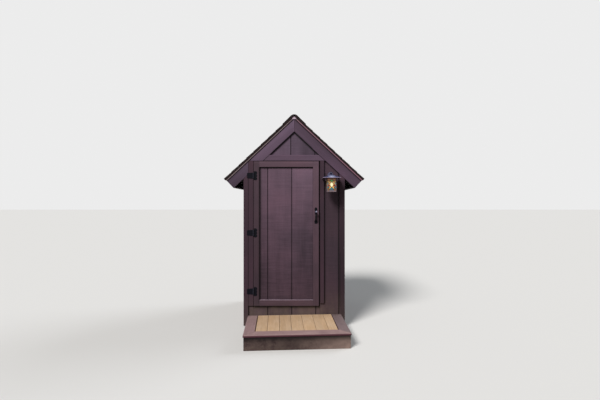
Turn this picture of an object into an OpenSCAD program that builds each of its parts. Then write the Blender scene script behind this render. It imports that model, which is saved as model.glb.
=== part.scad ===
// Wooden outhouse: a small framed hut with grooved siding, a steep gabled roof,
// a trimmed door on butterfly hinges with a thumb latch, a wall lantern and a low step.
// The origin is on the ground in the middle of the hut. The door faces -Y.

/* [Walls] */
// Width of the front wall between the doorway and the right corner
pier_w = 295; // [280:1:420]
// Depth of the hut over its siding
wall_d = 1242; // [1000:1:1500]
// Thickness of the grooved siding
siding_t = 16; // [11:0.5:19]
// Height of the siding's lower edge above the ground
siding_low = 20; // [10:1:60]
// Distance between the siding's grooves
groove_pitch = 304.8; // [200:0.1:406.4]
// Width of a groove in the siding
groove_w = 12; // [6:0.5:14]
// Depth of a groove in the siding
groove_deep = 6; // [3:0.5:8]
// Place of the groove nearest the middle of the front wall
groove_x = -31; // [-80:0.1:80]
// Place of the groove nearest the middle of the gable
gable_groove_x = -43; // [-90:0.1:80]
// Distance of the groove beside the right corner board from the siding's right edge
pier_groove_in = 55; // [54:1:100]

/* [Frame] */
// Thickness of the studs, plates, rafters and joists
lumber_t = 38; // [30:1:45]
// Depth of the studs and plates
stud_w = 64; // [50:1:89]
// Depth of the rafters
rafter_w = 89; // [70:1:110]
// Number of rafter pairs
rafter_pairs = 4; // [3:1:6]
// Level seat of a rafter on its plate
rafter_seat = 40; // [25:1:48]
// Depth of the ridge board
ridge_w = 140; // [125:1:160]
// Depth of the floor joists
joist_w = 140; // [120:1:160]
// Number of floor joists
joists = 4; // [3:1:6]
// Width and height of the skids
skid_w = 89; // [70:1:110]
// Thickness of the floor sheet
floor_t = 18; // [12:1:25]

/* [Roof] */
// Pitch of the roof, in degrees
roof_pitch = 42.9; // [38:0.1:46]
// How far the lower corners of the rake boards stand out past the siding
eave_out = 147; // [120:1:250]
// Width of the rake boards
rake_w = 140; // [130:1:170]
// Width of the left rake board that is left over the corner of its notch
rake_keep = 15.5; // [12:0.5:40]
// Thickness of the roof sheathing
sheathing_t = 12; // [9:0.5:18]
// Thickness of the shingles at the lower edge of a course
shingle_t = 26; // [10:0.5:30]
// Thickness of the shingles at the upper edge of a course
shingle_thin = 18; // [6:0.5:20]
// Height of one course of shingles along the slope
course = 127; // [100:1:200]
// How far the shingles reach past the boards below them
shingle_over = 9; // [5:0.5:20]
// Thickness of the ridge cap
cap_t = 5; // [4:0.5:8]
// Width of one leg of the ridge cap along the slope
cap_leg = 150; // [100:1:180]
// Outer radius of the bend of the ridge cap
cap_bend = 60; // [50:1:80]
// Thickness of the drip edge
drip_t = 1.5; // [1:0.1:3]
// Height of the drip edge's face
drip_w = 12; // [10:1:40]
// How far the lower lip of the drip edge stands out
drip_lip = 6; // [3:0.5:7]
// Height of the drip edge's lip
drip_lip_h = 8; // [5:0.5:12]
// Width of the lap that covers the drip edges' joint at the ridge
drip_lap_w = 54; // [40:1:80]

/* [Trim] */
// Thickness of the trim boards
trim_t = 19; // [16:0.5:22]
// Seam left between trim boards that meet
seam = 2.2; // [1:0.1:3]
// Width of the front left corner board
corner_l_w = 59; // [50:1:70]
// Width of the other front and back corner boards
corner_w = 66; // [60:1:70]
// Width of the corner boards on the side walls
corner_side_w = 64; // [50:1:90]
// Width of the casing on the latch side
casing_w = 51; // [45:1:64]
// Height of the hinge-side casing's lower end above the door's lower edge
casing_up_l = 3; // [0:1:60]
// Height of the latch-side casing's lower end above the door's lower edge
casing_up_r = 35; // [0:1:60]
// Width of the tie board over the door
tie_w = 73; // [55:1:90]

/* [Door] */
// Width of the door
door_w = 824; // [780:1:840]
// Height of the door
door_h = 1831; // [1780:1:1840]
// Distance from the siding's left edge to the door's hinge edge
door_margin = 108; // [98:1:120]
// Gap round the door at its hinge side, top and bottom
door_gap = 5; // [5:0.5:8]
// Gap at the door's latch side
latch_gap = 15; // [7:0.5:18]
// Width of the door's stiles and top rail
door_trim_w = 72; // [60:1:90]
// Width of the door's bottom rail
door_foot_w = 76; // [60:1:110]
// Width of the ledges behind the door
ledge_w = 89; // [60:1:110]
// Distance from the door's edges to the ledges' ends
ledge_inset = 27; // [26:1:60]
// Distance of the outer ledges from the door's top and bottom
ledge_end = 150; // [100:1:250]
// Width of the stop strip on the hinge side and of the upper one
stop_w = 19; // [12:1:19]
// Depth of the stop strips
stop_d = 38; // [25:1:50]
// Thickness of the sill board
sill_t = 18; // [15:1:25]

/* [Hinges] */
// Height of the low hinge above the door's lower edge
hinge_low = 184; // [140:1:300]
// Height of the middle hinge above the door's lower edge
hinge_mid = 925; // [800:1:1050]
// Distance of the high hinge below the door's upper edge
hinge_drop = 183; // [140:1:300]
// Radius of the hinge knuckles
knuckle_r = 6; // [5:0.5:7]
// Length of one hinge knuckle
knuckle_h = 25; // [20:1:28]
// Gap between two hinge knuckles
knuckle_gap = 1; // [0.5:0.1:2]
// Radius of the hinge pins
hinge_pin_r = 3; // [2:0.1:4]
// Clearance round a pin in its bore
pin_play = 0.05; // [0.01:0.01:0.1]
// Thickness of the hinge plates
plate_t = 3; // [2:0.5:4]
// Height of the hinge plates on the door
plate_h = 112; // [100:1:130]
// Radius of the lobes of the hinge plates
plate_lobe = 20; // [18:0.5:22]
// Length of the hinge straps on the casing, without their lobes
strap_l = 62; // [50:1:70]
// Height of the hinge straps over their lobes
strap_h = 68; // [60:1:76]
// Radius of the lobes of the hinge straps
strap_lobe = 13; // [12:0.5:16]

/* [Latch] */
// Distance of the handle from the door's latch edge
handle_inset = 36; // [30:1:44]
// Height of the thumb piece above the door's lower edge
thumb_z = 1191; // [1000:1:1300]
// Radius of the upper plate of the handle
spade_r = 20; // [18:0.5:24]
// Radius of the lower plate of the handle
foot_r = 20; // [16:0.5:23]
// Distance between the feet of the grip
grip_span = 100; // [96:1:120]
// Standing height of the grip over its plates
grip_rise = 38; // [34:1:46]
// Radius of the grip
grip_r = 8; // [6:0.5:9]
// Radius of the thumb pad
pad_r = 14; // [11:0.5:15]
// Thickness of the thumb pad at its rim
pad_t = 4; // [3:0.5:5]
// Depth of the hollow in the thumb pad
pad_hollow = 2; // [1:0.5:2.5]
// Tilt of the thumb pad towards the person who presses it, in degrees
pad_tilt = 50; // [20:1:60]
// Reach of the thumb pad's middle from the lever's pivot
pad_reach = 38; // [34:1:46]
// Reach of the lever's tail from its pivot
tail_reach = 66; // [64:1:72]
// Thickness of the lever
lever_t = 5; // [4:0.5:6]
// Height of the lever
lever_h = 8; // [6:0.5:9]
// Radius of the small latch pins
small_pin_r = 2; // [1.5:0.1:2.5]
// Room left round the lever in its slot
lever_room = 5.5; // [5:0.5:7]
// Rise of the lever's tail that the slot leaves room for
lever_lift = 11; // [10:0.5:14]
// Length of the latch bar from its pivot to its nose
bar_l = 172; // [160:1:180]
// Height of the latch bar
bar_h = 24; // [20:1:28]
// Thickness of the latch bar
bar_t = 6; // [5:0.5:7]
// Gap between the door's panel and the latch bar
bar_off = 8; // [8:0.5:10]

/* [Lantern] */
// Distance of the lantern's lower edge below the doorway's upper one
lantern_drop = 396; // [360:1:500]
// Width of the lantern's frame
lantern_w = 114; // [90:1:130]
// Height of the lantern's frame
lantern_h = 168; // [140:1:190]
// Thickness of the bars of the lantern's frame
lantern_bar = 7; // [6:0.5:12]
// Thickness of the lantern's glass
pane_t = 3; // [2:0.5:4]
// Width of the lantern's cap
cap_w = 220; // [190:1:225]
// Height of the lantern's cap
cap_h = 48; // [40:1:70]
// Thickness of the lantern's cap at its rim
cap_rim = 4; // [3:0.5:8]
// Curve of the lantern's cap: 1 for straight sides, more for a wider brim
cap_curve = 1.3; // [1:0.1:2]
// Gap between the trim boards and the lantern's cap
lantern_gap = 6; // [5:0.5:30]
// Distance of the lantern's middle from the latch-side casing
lantern_in = 82; // [75:1:100]
// Radius of the lantern's wall plate
canopy_r = 38; // [30:1:50]
// Radius of the lantern's arm
arm_r = 6; // [5:0.5:7]

/* [Step] */
// Width of the step over its border boards
step_w = 1172; // [1000:1:1210]
// Depth of the step over its border boards
step_d = 658; // [500:1:800]
// Height of the step's top
step_h = 170; // [150:1:200]
// Thickness of the boards of the step's top
step_board_t = 28; // [22:1:38]
// Width of the side border boards
border_w = 120; // [100:1:145]
// Width of the front border board
border_front_w = 113; // [100:1:145]
// Radius of the outer edges of the border boards
nose_r = 9; // [3:0.5:10]
// Width of a full board between the borders
step_board_w = 133; // [90:1:150]
// Width of the leftmost board between the borders
step_first_w = 123; // [60:1:150]
// Gap between the boards of the step's top
board_gap = 3.5; // [2:0.5:6]
// Gap between the side borders and the boards
border_gap = 11; // [3:0.5:14]
// Set-back of the skirt boards behind the border's edge
step_over = 8; // [6:1:30]
// Thickness of the skirt boards
skirt_t = 38; // [25:1:40]
// Turn of the step away from the front wall, in degrees
step_yaw = 3.4; // [0:0.1:5]
// Distance from the corner board's outer edge to the step's right back corner
step_inset = 46; // [0:1:80]

/* [Hidden] */
$fn = 48;

// Colours of the real surfaces
stain = [0.33, 0.26, 0.30];
stain_dark = [0.24, 0.19, 0.22];
raw_wood = [0.72, 0.58, 0.42];
shingle_col = [0.16, 0.14, 0.13];
drip_col = [0.60, 0.44, 0.44];
deck_col = [0.72, 0.60, 0.50];
iron = [0.08, 0.08, 0.09];
zinc = [0.52, 0.55, 0.66];
glass_col = [0.90, 0.75, 0.40];

// Half sizes and reference planes of the hut
wall_w = door_margin + door_w + latch_gap + pier_w;
half_w = wall_w / 2;
half_d = wall_d / 2;
frame_x = half_w - siding_t;
frame_y = half_d - siding_t;
trim_x = half_w + trim_t;
trim_y = half_d + trim_t;
skirt_h = step_h - step_board_t;

// How far cutting shapes run past what they cut, and the size of shapes without an end
cut = 1;
far = 4000;

// Clearances: between pieces that are put together, between pieces that nearly touch,
// and between a piece and the one that it rests on
slack = 1;
touch = 0.3;
rest = 0.05;

// Levels of the floor and the doorway
joist_z = skid_w;
sheet_z = joist_z + joist_w;
floor_z = sheet_z + floor_t;
stud_z = floor_z + lumber_t;
opening_low = floor_z + sill_t;
door_z = opening_low + door_gap;
opening_top = door_z + door_h + door_gap;
header_top = opening_top + lumber_t;
door_x = door_margin - half_w;
door_end = door_x + door_w;
opening_l = door_x - door_gap;
opening_r = door_end + latch_gap;
latch_stop_w = stop_w + latch_gap - door_gap;

// The left rake board is notched round the casing up to here
notch_x = corner_l_w - trim_x;

// Roof: s is the distance square to the slope from the rake boards' lower edge,
// t the distance down the slope from the point where those edges meet, at the height gable_z
slope = tan(roof_pitch);
gable_z = opening_top - slope * notch_x - (rake_w - rake_keep) / cos(roof_pitch);
eave_t = (half_w + eave_out) / cos(roof_pitch);
deck_s = rake_w - sheathing_t;
rafter_s = deck_s - rafter_w;
flange_s = rake_w + rest;
drip_s = flange_s + drip_t;
shingle_s = drip_s + rest;
cap_s = shingle_s + shingle_t + touch;
cap_z0 = gable_z + (cap_s + cap_t - cap_bend) / cos(roof_pitch);
tail_t = eave_t - trim_t;
roof_y = trim_y + shingle_over;
function roof_z(x, s) = gable_z + s / cos(roof_pitch) - slope * abs(x);
function slope_point(t, s) = [
    t * cos(roof_pitch) + s * sin(roof_pitch),
    gable_z - t * sin(roof_pitch) + s * cos(roof_pitch)
];
function ridge_t(x, s) = (x - s * sin(roof_pitch)) / cos(roof_pitch);
plate_z = roof_z(frame_x - rafter_seat, rafter_s);

// The rafters stand between -rafter_y and rafter_y, one every rafter_step
rafter_y = frame_y - stud_w - slack;
rafter_step = (2 * rafter_y - lumber_t) / (rafter_pairs - 1);

// Hinge and latch axes
hinge_x = door_x - door_gap / 2;
hinge_y = -trim_y - knuckle_r - slack / 2;
barrel = 3 * knuckle_h + 2 * knuckle_gap;
hinge_heights = [hinge_low, hinge_mid, door_h - hinge_drop];
handle_x = door_end - handle_inset;
thumb_y = -trim_y - plate_t - lever_h;
lever_z = door_z + thumb_z;
bar_y = -frame_y + bar_off;
bar_pivot_x = opening_r - latch_stop_w - lever_room - bar_l;
bar_z = lever_z + lever_h / 2 + touch + bar_h / 2;

// From a hinge's axis: back to the trim's face, and sideways to where the flat leaves start
hinge_depth = -hinge_y - trim_y;
leaf_x = knuckle_r + slack;

// Lantern
lantern_x = opening_r + casing_w + lantern_in;
lantern_z = opening_top - lantern_drop;
lantern_y = -trim_y - lantern_gap - cap_w / 2;
cap_z = lantern_z + lantern_h;
arm_z = cap_z + cap_h + 3 * arm_r;

// Draws an outline given in X and Z, from y0 towards +Y over a length
module along_y(y0, length) {
    translate([0, y0 + length, 0]) rotate([90, 0, 0]) linear_extrude(length) children();
}

// Draws an outline given in Y and Z, from x0 towards +X over a length
module along_x(x0, length) {
    translate([x0, 0, 0]) rotate([90, 0, 90]) linear_extrude(length) children();
}

// Draws children, and their mirror image on the hut's other side
module both_sides() {
    children();
    mirror([1, 0, 0]) children();
}

// Draws children, and their mirror image at the hut's other end
module both_ends() {
    children();
    mirror([0, 1, 0]) children();
}

// A box from its lowest corner to its highest one
module block(low, high) {
    translate(low) cube(high - low);
}

// A rectangle from its lowest corner to its highest one
module area(low, high) {
    translate(low) square(high - low);
}

// Outline of everything below a line of the roof
module under_roof(s) {
    polygon([
        [-half_w, 0], [half_w, 0], [half_w, roof_z(half_w, s)],
        [0, roof_z(0, s)], [-half_w, roof_z(half_w, s)]
    ]);
}

// Outline of a board that runs down the right slope: plumb cut at x0, square cut at t1
module slope_band(s0, s1, x0, t1) {
    polygon([
        slope_point(ridge_t(x0, s0), s0), slope_point(t1, s0),
        slope_point(t1, s1), slope_point(ridge_t(x0, s1), s1)
    ]);
}

// Floor

module floor_skids() {
    color(raw_wood) for (i = [-1:1])
        translate([i * (frame_x - skid_w / 2), 0, skid_w / 2])
            cube([skid_w, 2 * frame_y, skid_w], center = true);
}

module floor_joists() {
    step = (2 * frame_y - lumber_t) / (joists - 1);
    color(raw_wood) for (i = [0:joists - 1])
        translate([-frame_x, -frame_y + i * step, joist_z])
            cube([2 * frame_x, lumber_t, joist_w]);
}

module floor_sheet() {
    color(raw_wood) block([-frame_x, -frame_y, sheet_z], [frame_x, frame_y, floor_z]);
}

// Wall frame

module wall_plates() {
    color(raw_wood) {
        both_sides() for (z = [floor_z, plate_z - lumber_t])
            block([frame_x - stud_w, -rafter_y, z], [frame_x, rafter_y, z + lumber_t]);
        block([-frame_x, -frame_y, floor_z], [opening_l, stud_w - frame_y, stud_z]);
        block([opening_r, -frame_y, floor_z], [frame_x, stud_w - frame_y, stud_z]);
        block([-frame_x, frame_y - stud_w, floor_z], [frame_x, frame_y, stud_z]);
    }
}

// A stud of the front or back wall, cut to the slope of the roof
module end_stud(x0, y0, z0) {
    x1 = x0 + lumber_t;
    along_y(y0, stud_w)
        polygon([[x0, z0], [x1, z0], [x1, roof_z(x1, deck_s - rest)], [x0, roof_z(x0, deck_s - rest)]]);
}

module wall_studs() {
    back_studs = 4;
    back_step = (2 * frame_x - lumber_t) / (back_studs - 1);
    ridge_foot = roof_z(lumber_t / 2, deck_s - rest) - ridge_w;
    color(raw_wood) {
        both_sides() for (i = [0:rafter_pairs - 1])
            translate([frame_x - stud_w, -rafter_y + i * rafter_step, stud_z])
                cube([stud_w, lumber_t, plate_z - lumber_t - stud_z]);
        for (x = [-frame_x, opening_l - lumber_t, opening_r, frame_x - lumber_t])
            end_stud(x, -frame_y, stud_z);
        for (i = [0:back_studs - 1])
            end_stud(-frame_x + i * back_step, frame_y - stud_w, stud_z);
        block([-lumber_t / 2, -frame_y, header_top], [lumber_t / 2, stud_w - frame_y, ridge_foot]);
        block([-lumber_t / 2, frame_y - stud_w, stud_z], [lumber_t / 2, frame_y, ridge_foot]);
    }
}

module door_header() {
    color(raw_wood)
        block([opening_l, -frame_y, opening_top], [opening_r, stud_w - frame_y, header_top]);
}

module door_sill() {
    color(stain_dark)
        block([opening_l, -frame_y, floor_z], [opening_r, stud_w - frame_y, opening_low]);
}

module door_stops() {
    y0 = door_gap - frame_y;
    color(stain_dark) {
        block([opening_l, y0, opening_low], [opening_l + stop_w, y0 + stop_d, opening_top]);
        block([opening_r - latch_stop_w, y0, opening_low], [opening_r, y0 + stop_d, opening_top]);
        block([opening_l + stop_w + touch, y0, opening_top - stop_w],
              [opening_r - latch_stop_w - touch, y0 + stop_d, opening_top]);
    }
}

// Roof frame and cover

module ridge_board() {
    top = roof_z(lumber_t / 2, deck_s - rest);
    color(raw_wood)
        block([-lumber_t / 2, -frame_y, top - ridge_w], [lumber_t / 2, frame_y, top]);
}

// A rafter with its level seat on the plate
module rafter_outline() {
    difference() {
        slope_band(rafter_s, deck_s - rest, lumber_t / 2, tail_t - rest);
        area([frame_x - stud_w, 0], [frame_x, plate_z]);
    }
}

module rafters() {
    color(raw_wood) both_sides() for (i = [0:rafter_pairs - 1])
        along_y(-rafter_y + i * rafter_step, lumber_t) rafter_outline();
}

module roof_sheathing() {
    color(raw_wood) both_sides()
        along_y(-half_d, wall_d) slope_band(deck_s, rake_w, seam, eave_t);
}

// Courses of shingles in section, each thick at its lower edge and thin at its upper one
module shingle_outline() {
    t1 = eave_t + shingle_over;
    rows = ceil((t1 - ridge_t(0, cap_s)) / course);
    steps = [for (i = [0:rows - 1]) each [
        slope_point(t1 - i * course, shingle_s + shingle_t),
        slope_point(t1 - (i + 1) * course, shingle_s + shingle_thin)
    ]];
    intersection() {
        polygon(concat([slope_point(t1, shingle_s)], steps,
                       [slope_point(t1 - rows * course, shingle_s)]));
        under_cap();
    }
}

// Everything right of the ridge that the ridge cap leaves room for
module under_cap() {
    inner = cap_bend - cap_t;
    area([inner * sin(roof_pitch), 0], [far, far]);
    intersection() {
        translate([0, cap_z0]) circle(inner - touch, $fn = 96);
        area([seam, 0], [far, far]);
    }
}

module roof_shingles() {
    color(shingle_col) both_sides() along_y(-roof_y, 2 * roof_y) shingle_outline();
}

// Points of the ridge cap's bend at a radius, from the left for turn 1 and from the right for turn -1
bend_steps = 8;
function bend(r, turn) = [for (i = [-bend_steps:bend_steps])
    let (a = turn * roof_pitch * i / bend_steps) [r * sin(a), cap_z0 + r * cos(a)]];

module ridge_cap() {
    top = cap_s + cap_t;
    end_t = ridge_t(cap_bend * sin(roof_pitch), top) + cap_leg;
    high = slope_point(end_t, top);
    low = slope_point(end_t, cap_s);
    color(shingle_col) along_y(-roof_y, 2 * roof_y) polygon(concat(
        [[-low[0], low[1]], [-high[0], high[1]]], bend(cap_bend, 1),
        [high, low], bend(cap_bend - cap_t, -1)
    ));
}

// Lays a shape with its X down the right slope, its Y level and its Z square to the slope
module on_slope() {
    translate([0, 0, gable_z]) rotate([0, roof_pitch, 0]) children();
}

// Section of a rake's drip edge in Y and s: a flange under the shingles, a face and a lip that kicks out
module drip_section() {
    face_y = -trim_y - drip_t;
    kick = drip_s - drip_w;
    polygon([
        [-half_d, flange_s], [-half_d, drip_s], [face_y, drip_s], [face_y, kick],
        [face_y - drip_lip, kick - drip_lip_h], [face_y - drip_lip + drip_t, kick - drip_lip_h],
        [-trim_y, kick], [-trim_y, flange_s]
    ]);
}

// Drip edge over a pair of rake boards, with a folded lap over the joint at the ridge
module rake_drip() {
    top = roof_z(0, drip_s);
    both_sides() intersection() {
        on_slope() along_x(-eave_t / 2, eave_t * 1.5 + drip_t) drip_section();
        block([0, -far, 0], [far, far, far]);
    }
    along_y(-trim_y - drip_t - drip_lip, drip_lip + drip_t / 2)
        polygon([[0, top], [drip_lap_w / 2, top - slope * drip_lap_w / 2],
                 [-drip_lap_w / 2, top - slope * drip_lap_w / 2]]);
}

// Drip edge along an eave, with a flange on the sheathing and a face over the fascia
module eave_drip() {
    reach = half_d - touch;
    along_y(-reach, 2 * reach) {
        face_t = eave_t + rest;
        polygon([slope_point(eave_t - 2 * trim_t, flange_s), slope_point(face_t, flange_s),
                 slope_point(face_t, drip_s - drip_w), slope_point(face_t + drip_t, drip_s - drip_w),
                 slope_point(face_t + drip_t, drip_s), slope_point(eave_t - 2 * trim_t, drip_s)]);
    }
}

module drip_edges() {
    color(drip_col) {
        both_ends() rake_drip();
        both_sides() eave_drip();
    }
}

module rake_boards_left() {
    color(stain) mirror([1, 0, 0]) {
        along_y(-trim_y, trim_t) difference() {
            slope_band(0, rake_w, seam / 2, eave_t);
            area([0, 0], [-notch_x, opening_top]);
        }
        along_y(half_d, trim_t) slope_band(0, rake_w, seam / 2, eave_t);
    }
}

module rake_boards_right() {
    color(stain) both_ends() along_y(-trim_y, trim_t) slope_band(0, rake_w, seam / 2, eave_t);
}

module eave_fascias() {
    color(stain) both_sides() along_y(-half_d, wall_d)
        polygon([slope_point(tail_t, 0), slope_point(eave_t, 0),
                 slope_point(eave_t, deck_s - rest), slope_point(tail_t, deck_s - rest)]);
}

// Siding

// Places of a sheet's grooves, from the place of the one nearest the middle
function grooves(middle) = [for (i = [-2:2]) middle + i * groove_pitch];
sheet_grooves = grooves(groove_x);

// Grooves of the front or back wall, cut into the outer face
module end_grooves(places = sheet_grooves) {
    for (x = places)
        block([x - groove_w / 2, -half_d - cut, -cut], [x + groove_w / 2, groove_deep - half_d, far]);
}

// A piece of the front siding between two places and two heights
module front_siding(x0, x1, z0, z1, places = sheet_grooves) {
    color(stain) difference() {
        along_y(-half_d, siding_t) intersection() {
            area([x0, z0], [x1, z1]);
            under_roof(deck_s - rest);
        }
        end_grooves(places);
    }
}

module front_wall_left() {
    front_siding(-half_w, opening_l, siding_low, opening_top);
}

module front_wall_right() {
    front_siding(opening_r, half_w, siding_low, opening_top, [half_w - pier_groove_in]);
}

module front_wall_base() {
    front_siding(opening_l, opening_r, siding_low, opening_low);
}

module front_gable() {
    front_siding(-half_w, half_w, opening_top, far, grooves(gable_groove_x));
}

module back_wall() {
    mirror([0, 1, 0]) front_siding(-half_w, half_w, siding_low, far);
}

// Siding of the right wall, notched where the rafters pass over the plate
module right_wall() {
    color(stain) difference() {
        block([frame_x, -frame_y, siding_low], [half_w, frame_y, plate_z]);
        for (y = sheet_grooves)
            block([half_w - groove_deep, y - groove_w / 2, -cut], [half_w + cut, y + groove_w / 2, far]);
        for (i = [0:rafter_pairs - 1])
            block([frame_x - cut, -rafter_y + i * rafter_step - cut, roof_z(half_w, rafter_s) - cut],
                  [half_w + cut, -rafter_y + i * rafter_step + lumber_t + cut, far]);
    }
}

module left_wall() {
    mirror([1, 0, 0]) right_wall();
}

// Trim

module tie_board() {
    z1 = opening_top + tie_w;
    low_x = (roof_z(0, -seam) - opening_top) / slope;
    high_x = (roof_z(0, -seam) - z1) / slope;
    color(stain) along_y(-trim_y, trim_t)
        polygon([[-low_x, opening_top], [low_x, opening_top], [high_x, z1], [-high_x, z1]]);
}

// A corner board that ends under the rake board
module corner_board(x0, x1) {
    along_y(-trim_y, trim_t)
        polygon([[x0, siding_low], [x1, siding_low],
                 [x1, roof_z(x1, -seam)], [x0, roof_z(x0, -seam)]]);
}

module corner_boards() {
    color(stain) {
        corner_board(-trim_x, notch_x);
        corner_board(trim_x - corner_w, trim_x);
        mirror([0, 1, 0]) both_sides() corner_board(trim_x - corner_w, trim_x);
    }
}

module side_corner_boards() {
    color(stain) both_sides() both_ends()
        block([half_w, -half_d, siding_low], [trim_x, corner_side_w - half_d, plate_z]);
}

module door_casings() {
    top = opening_top - seam;
    color(stain) {
        block([notch_x + seam, -trim_y, door_z + casing_up_l], [opening_l, -half_d, top]);
        block([opening_r, -trim_y, door_z + casing_up_r], [opening_r + casing_w, -half_d, top]);
    }
}

// Hinges

// Places children at each hinge, with the hinge's axis on Z and the door's face towards -Y
module at_hinges() {
    for (h = hinge_heights) translate([hinge_x, hinge_y, door_z + h]) children();
}

// Height of the lower end of a knuckle, counted from the bottom one
function knuckle_z(i) = i * (knuckle_h + knuckle_gap) - barrel / 2;

module knuckle(i) {
    translate([0, 0, knuckle_z(i)]) cylinder(r = knuckle_r, h = knuckle_h);
}

// A tongue that joins a plate to a knuckle; side is 1 for the door, -1 for the casing
module tongue(i, side) {
    x1 = side * (leaf_x + 2 * slack);
    translate([min(0, x1), hinge_depth - plate_t, knuckle_z(i)]) cube([abs(x1), plate_t, knuckle_h]);
}

// Three round lobes in a row over a height, at a distance from the hinge's barrel
module lobes(x, r, height) {
    for (i = [-1:1]) translate([x, i * (height / 2 - r)]) circle(r);
}

// The face of a door plate: a strip with three lobes
module plate_face() {
    area([0, -plate_h / 2], [plate_lobe * 1.35, plate_h / 2]);
    lobes(plate_lobe, plate_lobe, plate_h);
}

// The face of a casing strap: a leaf that narrows a little and ends in three lobes
module strap_face() {
    polygon([[0, -barrel / 2], [0, barrel / 2], [-strap_l, strap_h / 2], [-strap_l, -strap_h / 2]]);
    lobes(-strap_l, strap_lobe, strap_h);
}

// Lays a face drawn in X and Z on the trim's plane, placed from a hinge's axis
module on_trim() {
    translate([0, hinge_depth, 0]) rotate([90, 0, 0]) linear_extrude(plate_t) children();
}

module hinge_straps() {
    color(iron) at_hinges() {
        translate([-leaf_x, 0, 0]) on_trim() strap_face();
        for (i = [0, 2]) {
            knuckle(i);
            tongue(i, -1);
        }
        translate([0, 0, -barrel / 2 - hinge_pin_r])
            cylinder(r = hinge_pin_r, h = barrel + 2 * hinge_pin_r);
    }
}

module hinge_plates() {
    color(iron) at_hinges() difference() {
        union() {
            translate([leaf_x, 0, 0]) on_trim() plate_face();
            knuckle(1);
            tongue(1, 1);
        }
        cylinder(r = hinge_pin_r + pin_play, h = plate_h, center = true);
    }
}

// Door

// Room for the lever through the panel, the trim and the handle's back plate
module lever_slot() {
    room = lever_t / 2 + lever_room;
    low = lever_z - lever_h / 2 - lever_room;
    block([handle_x - room, -trim_y - 2 * plate_t, low],
          [handle_x + room, cut - frame_y, low + lever_h + 2 * lever_room + lever_lift]);
}

module door_panel() {
    color(stain) difference() {
        block([door_x, -half_d, door_z], [door_end, -frame_y, door_z + door_h]);
        end_grooves();
        lever_slot();
    }
}

module door_trim() {
    top = door_z + door_h;
    color(stain) difference() {
        union() {
            block([door_x, -trim_y, door_z], [door_x + door_trim_w, -half_d, top]);
            block([door_end - door_trim_w, -trim_y, door_z], [door_end, -half_d, top]);
            for (z = [[door_z, door_z + door_foot_w], [top - door_trim_w, top]])
                block([door_x + door_trim_w + touch, -trim_y, z[0]],
                      [door_end - door_trim_w - touch, -half_d, z[1]]);
        }
        lever_slot();
    }
}

module door_ledges() {
    color(stain) for (h = [ledge_end, door_h / 2, door_h - ledge_end])
        block([door_x + ledge_inset, -frame_y, door_z + h - ledge_w / 2],
              [door_end - ledge_inset, trim_t - frame_y, door_z + h + ledge_w / 2]);
}

// Latch

// Outline of the handle's back plates: a spade above, a broad foot below
module handle_face() {
    leaf_z = spade_r * 1.7;
    leaf_r = spade_r * 0.9;
    neck = spade_r * 0.7;
    foot_z = -spade_r - grip_span - foot_r / 3;
    foot_neck = foot_r * 0.8;
    translate([0, leaf_z]) {
        circle(leaf_r);
        rotate(45) square(leaf_r);
    }
    area([-neck, -spade_r * 1.3], [neck, spade_r * 1.4]);
    translate([0, foot_z]) {
        circle(foot_r);
        rotate(45) square(foot_r * 1.2);
        area([-foot_neck, -foot_r * 1.1], [foot_neck, 0]);
    }
}

// The grip: an arc of a ring whose ends are cut off flush with the plates' backs
module grip() {
    radius = (pow(grip_span / 2, 2) + pow(grip_rise, 2)) / (2 * grip_rise);
    half = asin(grip_span / 2 / radius) + asin(grip_r / radius);
    intersection() {
        translate([0, radius - grip_rise, -spade_r - grip_span / 2])
            rotate([0, -90, 0]) rotate(-90 - half)
                rotate_extrude(angle = 2 * half) translate([radius, 0]) circle(grip_r, $fn = 24);
        block([-far, -far, -far], [far, -rest, far]);
    }
}

module door_handle() {
    ear_x = lever_t / 2 + lever_room;
    ear_reach = lever_h + small_pin_r;
    color(iron) translate([handle_x, -trim_y, lever_z]) difference() {
        union() {
            rotate([90, 0, 0]) linear_extrude(plate_t) handle_face();
            grip();
            both_sides() translate([ear_x, -plate_t - ear_reach, -lever_h / 2])
                cube([plate_t, ear_reach, lever_h]);
            translate([-ear_x - plate_t, thumb_y + trim_y, 0]) rotate([0, 90, 0])
                cylinder(r = small_pin_r, h = 2 * (ear_x + plate_t));
        }
        translate([-handle_x, trim_y, -lever_z]) difference() {
            lever_slot();
            block([-far, -far, -far], [far, -trim_y - plate_t, far]);
        }
    }
}

// A round pad with a shallow hollow
module thumb_pad() {
    hollow_r = pad_r - slack;
    ball = (pow(hollow_r, 2) + pow(pad_hollow, 2)) / (2 * pad_hollow);
    difference() {
        cylinder(r = pad_r, h = pad_t);
        translate([0, 0, pad_t - pad_hollow + ball]) sphere(ball);
    }
}

module thumb_lever() {
    color(iron) translate([handle_x, thumb_y, lever_z]) {
        difference() {
            translate([-lever_t / 2, -pad_reach, -lever_h / 2])
                cube([lever_t, pad_reach + tail_reach, lever_h]);
            rotate([0, 90, 0])
                cylinder(r = small_pin_r + pin_play, h = 4 * lever_t, center = true);
        }
        translate([0, -pad_reach, 0]) rotate([pad_tilt, 0, 0]) thumb_pad();
    }
}

// The inner plate with the bar's pivot, and the staple that guides the bar
module latch_base() {
    guide_x = bar_pivot_x + bar_l * 0.6;
    low = bar_z - bar_h / 2 - lever_room;
    high = bar_z + bar_h / 2 + lever_room + lever_lift;
    front = bar_y + bar_t + lever_room;
    color(iron) {
        translate([bar_pivot_x, -frame_y, bar_z]) rotate([-90, 0, 0]) {
            cylinder(r = bar_h * 0.8, h = plate_t);
            cylinder(r = small_pin_r, h = bar_off + bar_t + plate_t);
        }
        along_x(guide_x, 3 * plate_t) difference() {
            area([-frame_y, low - plate_t], [front + plate_t, high + plate_t]);
            area([-frame_y - cut, low], [front, high]);
        }
    }
}

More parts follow.
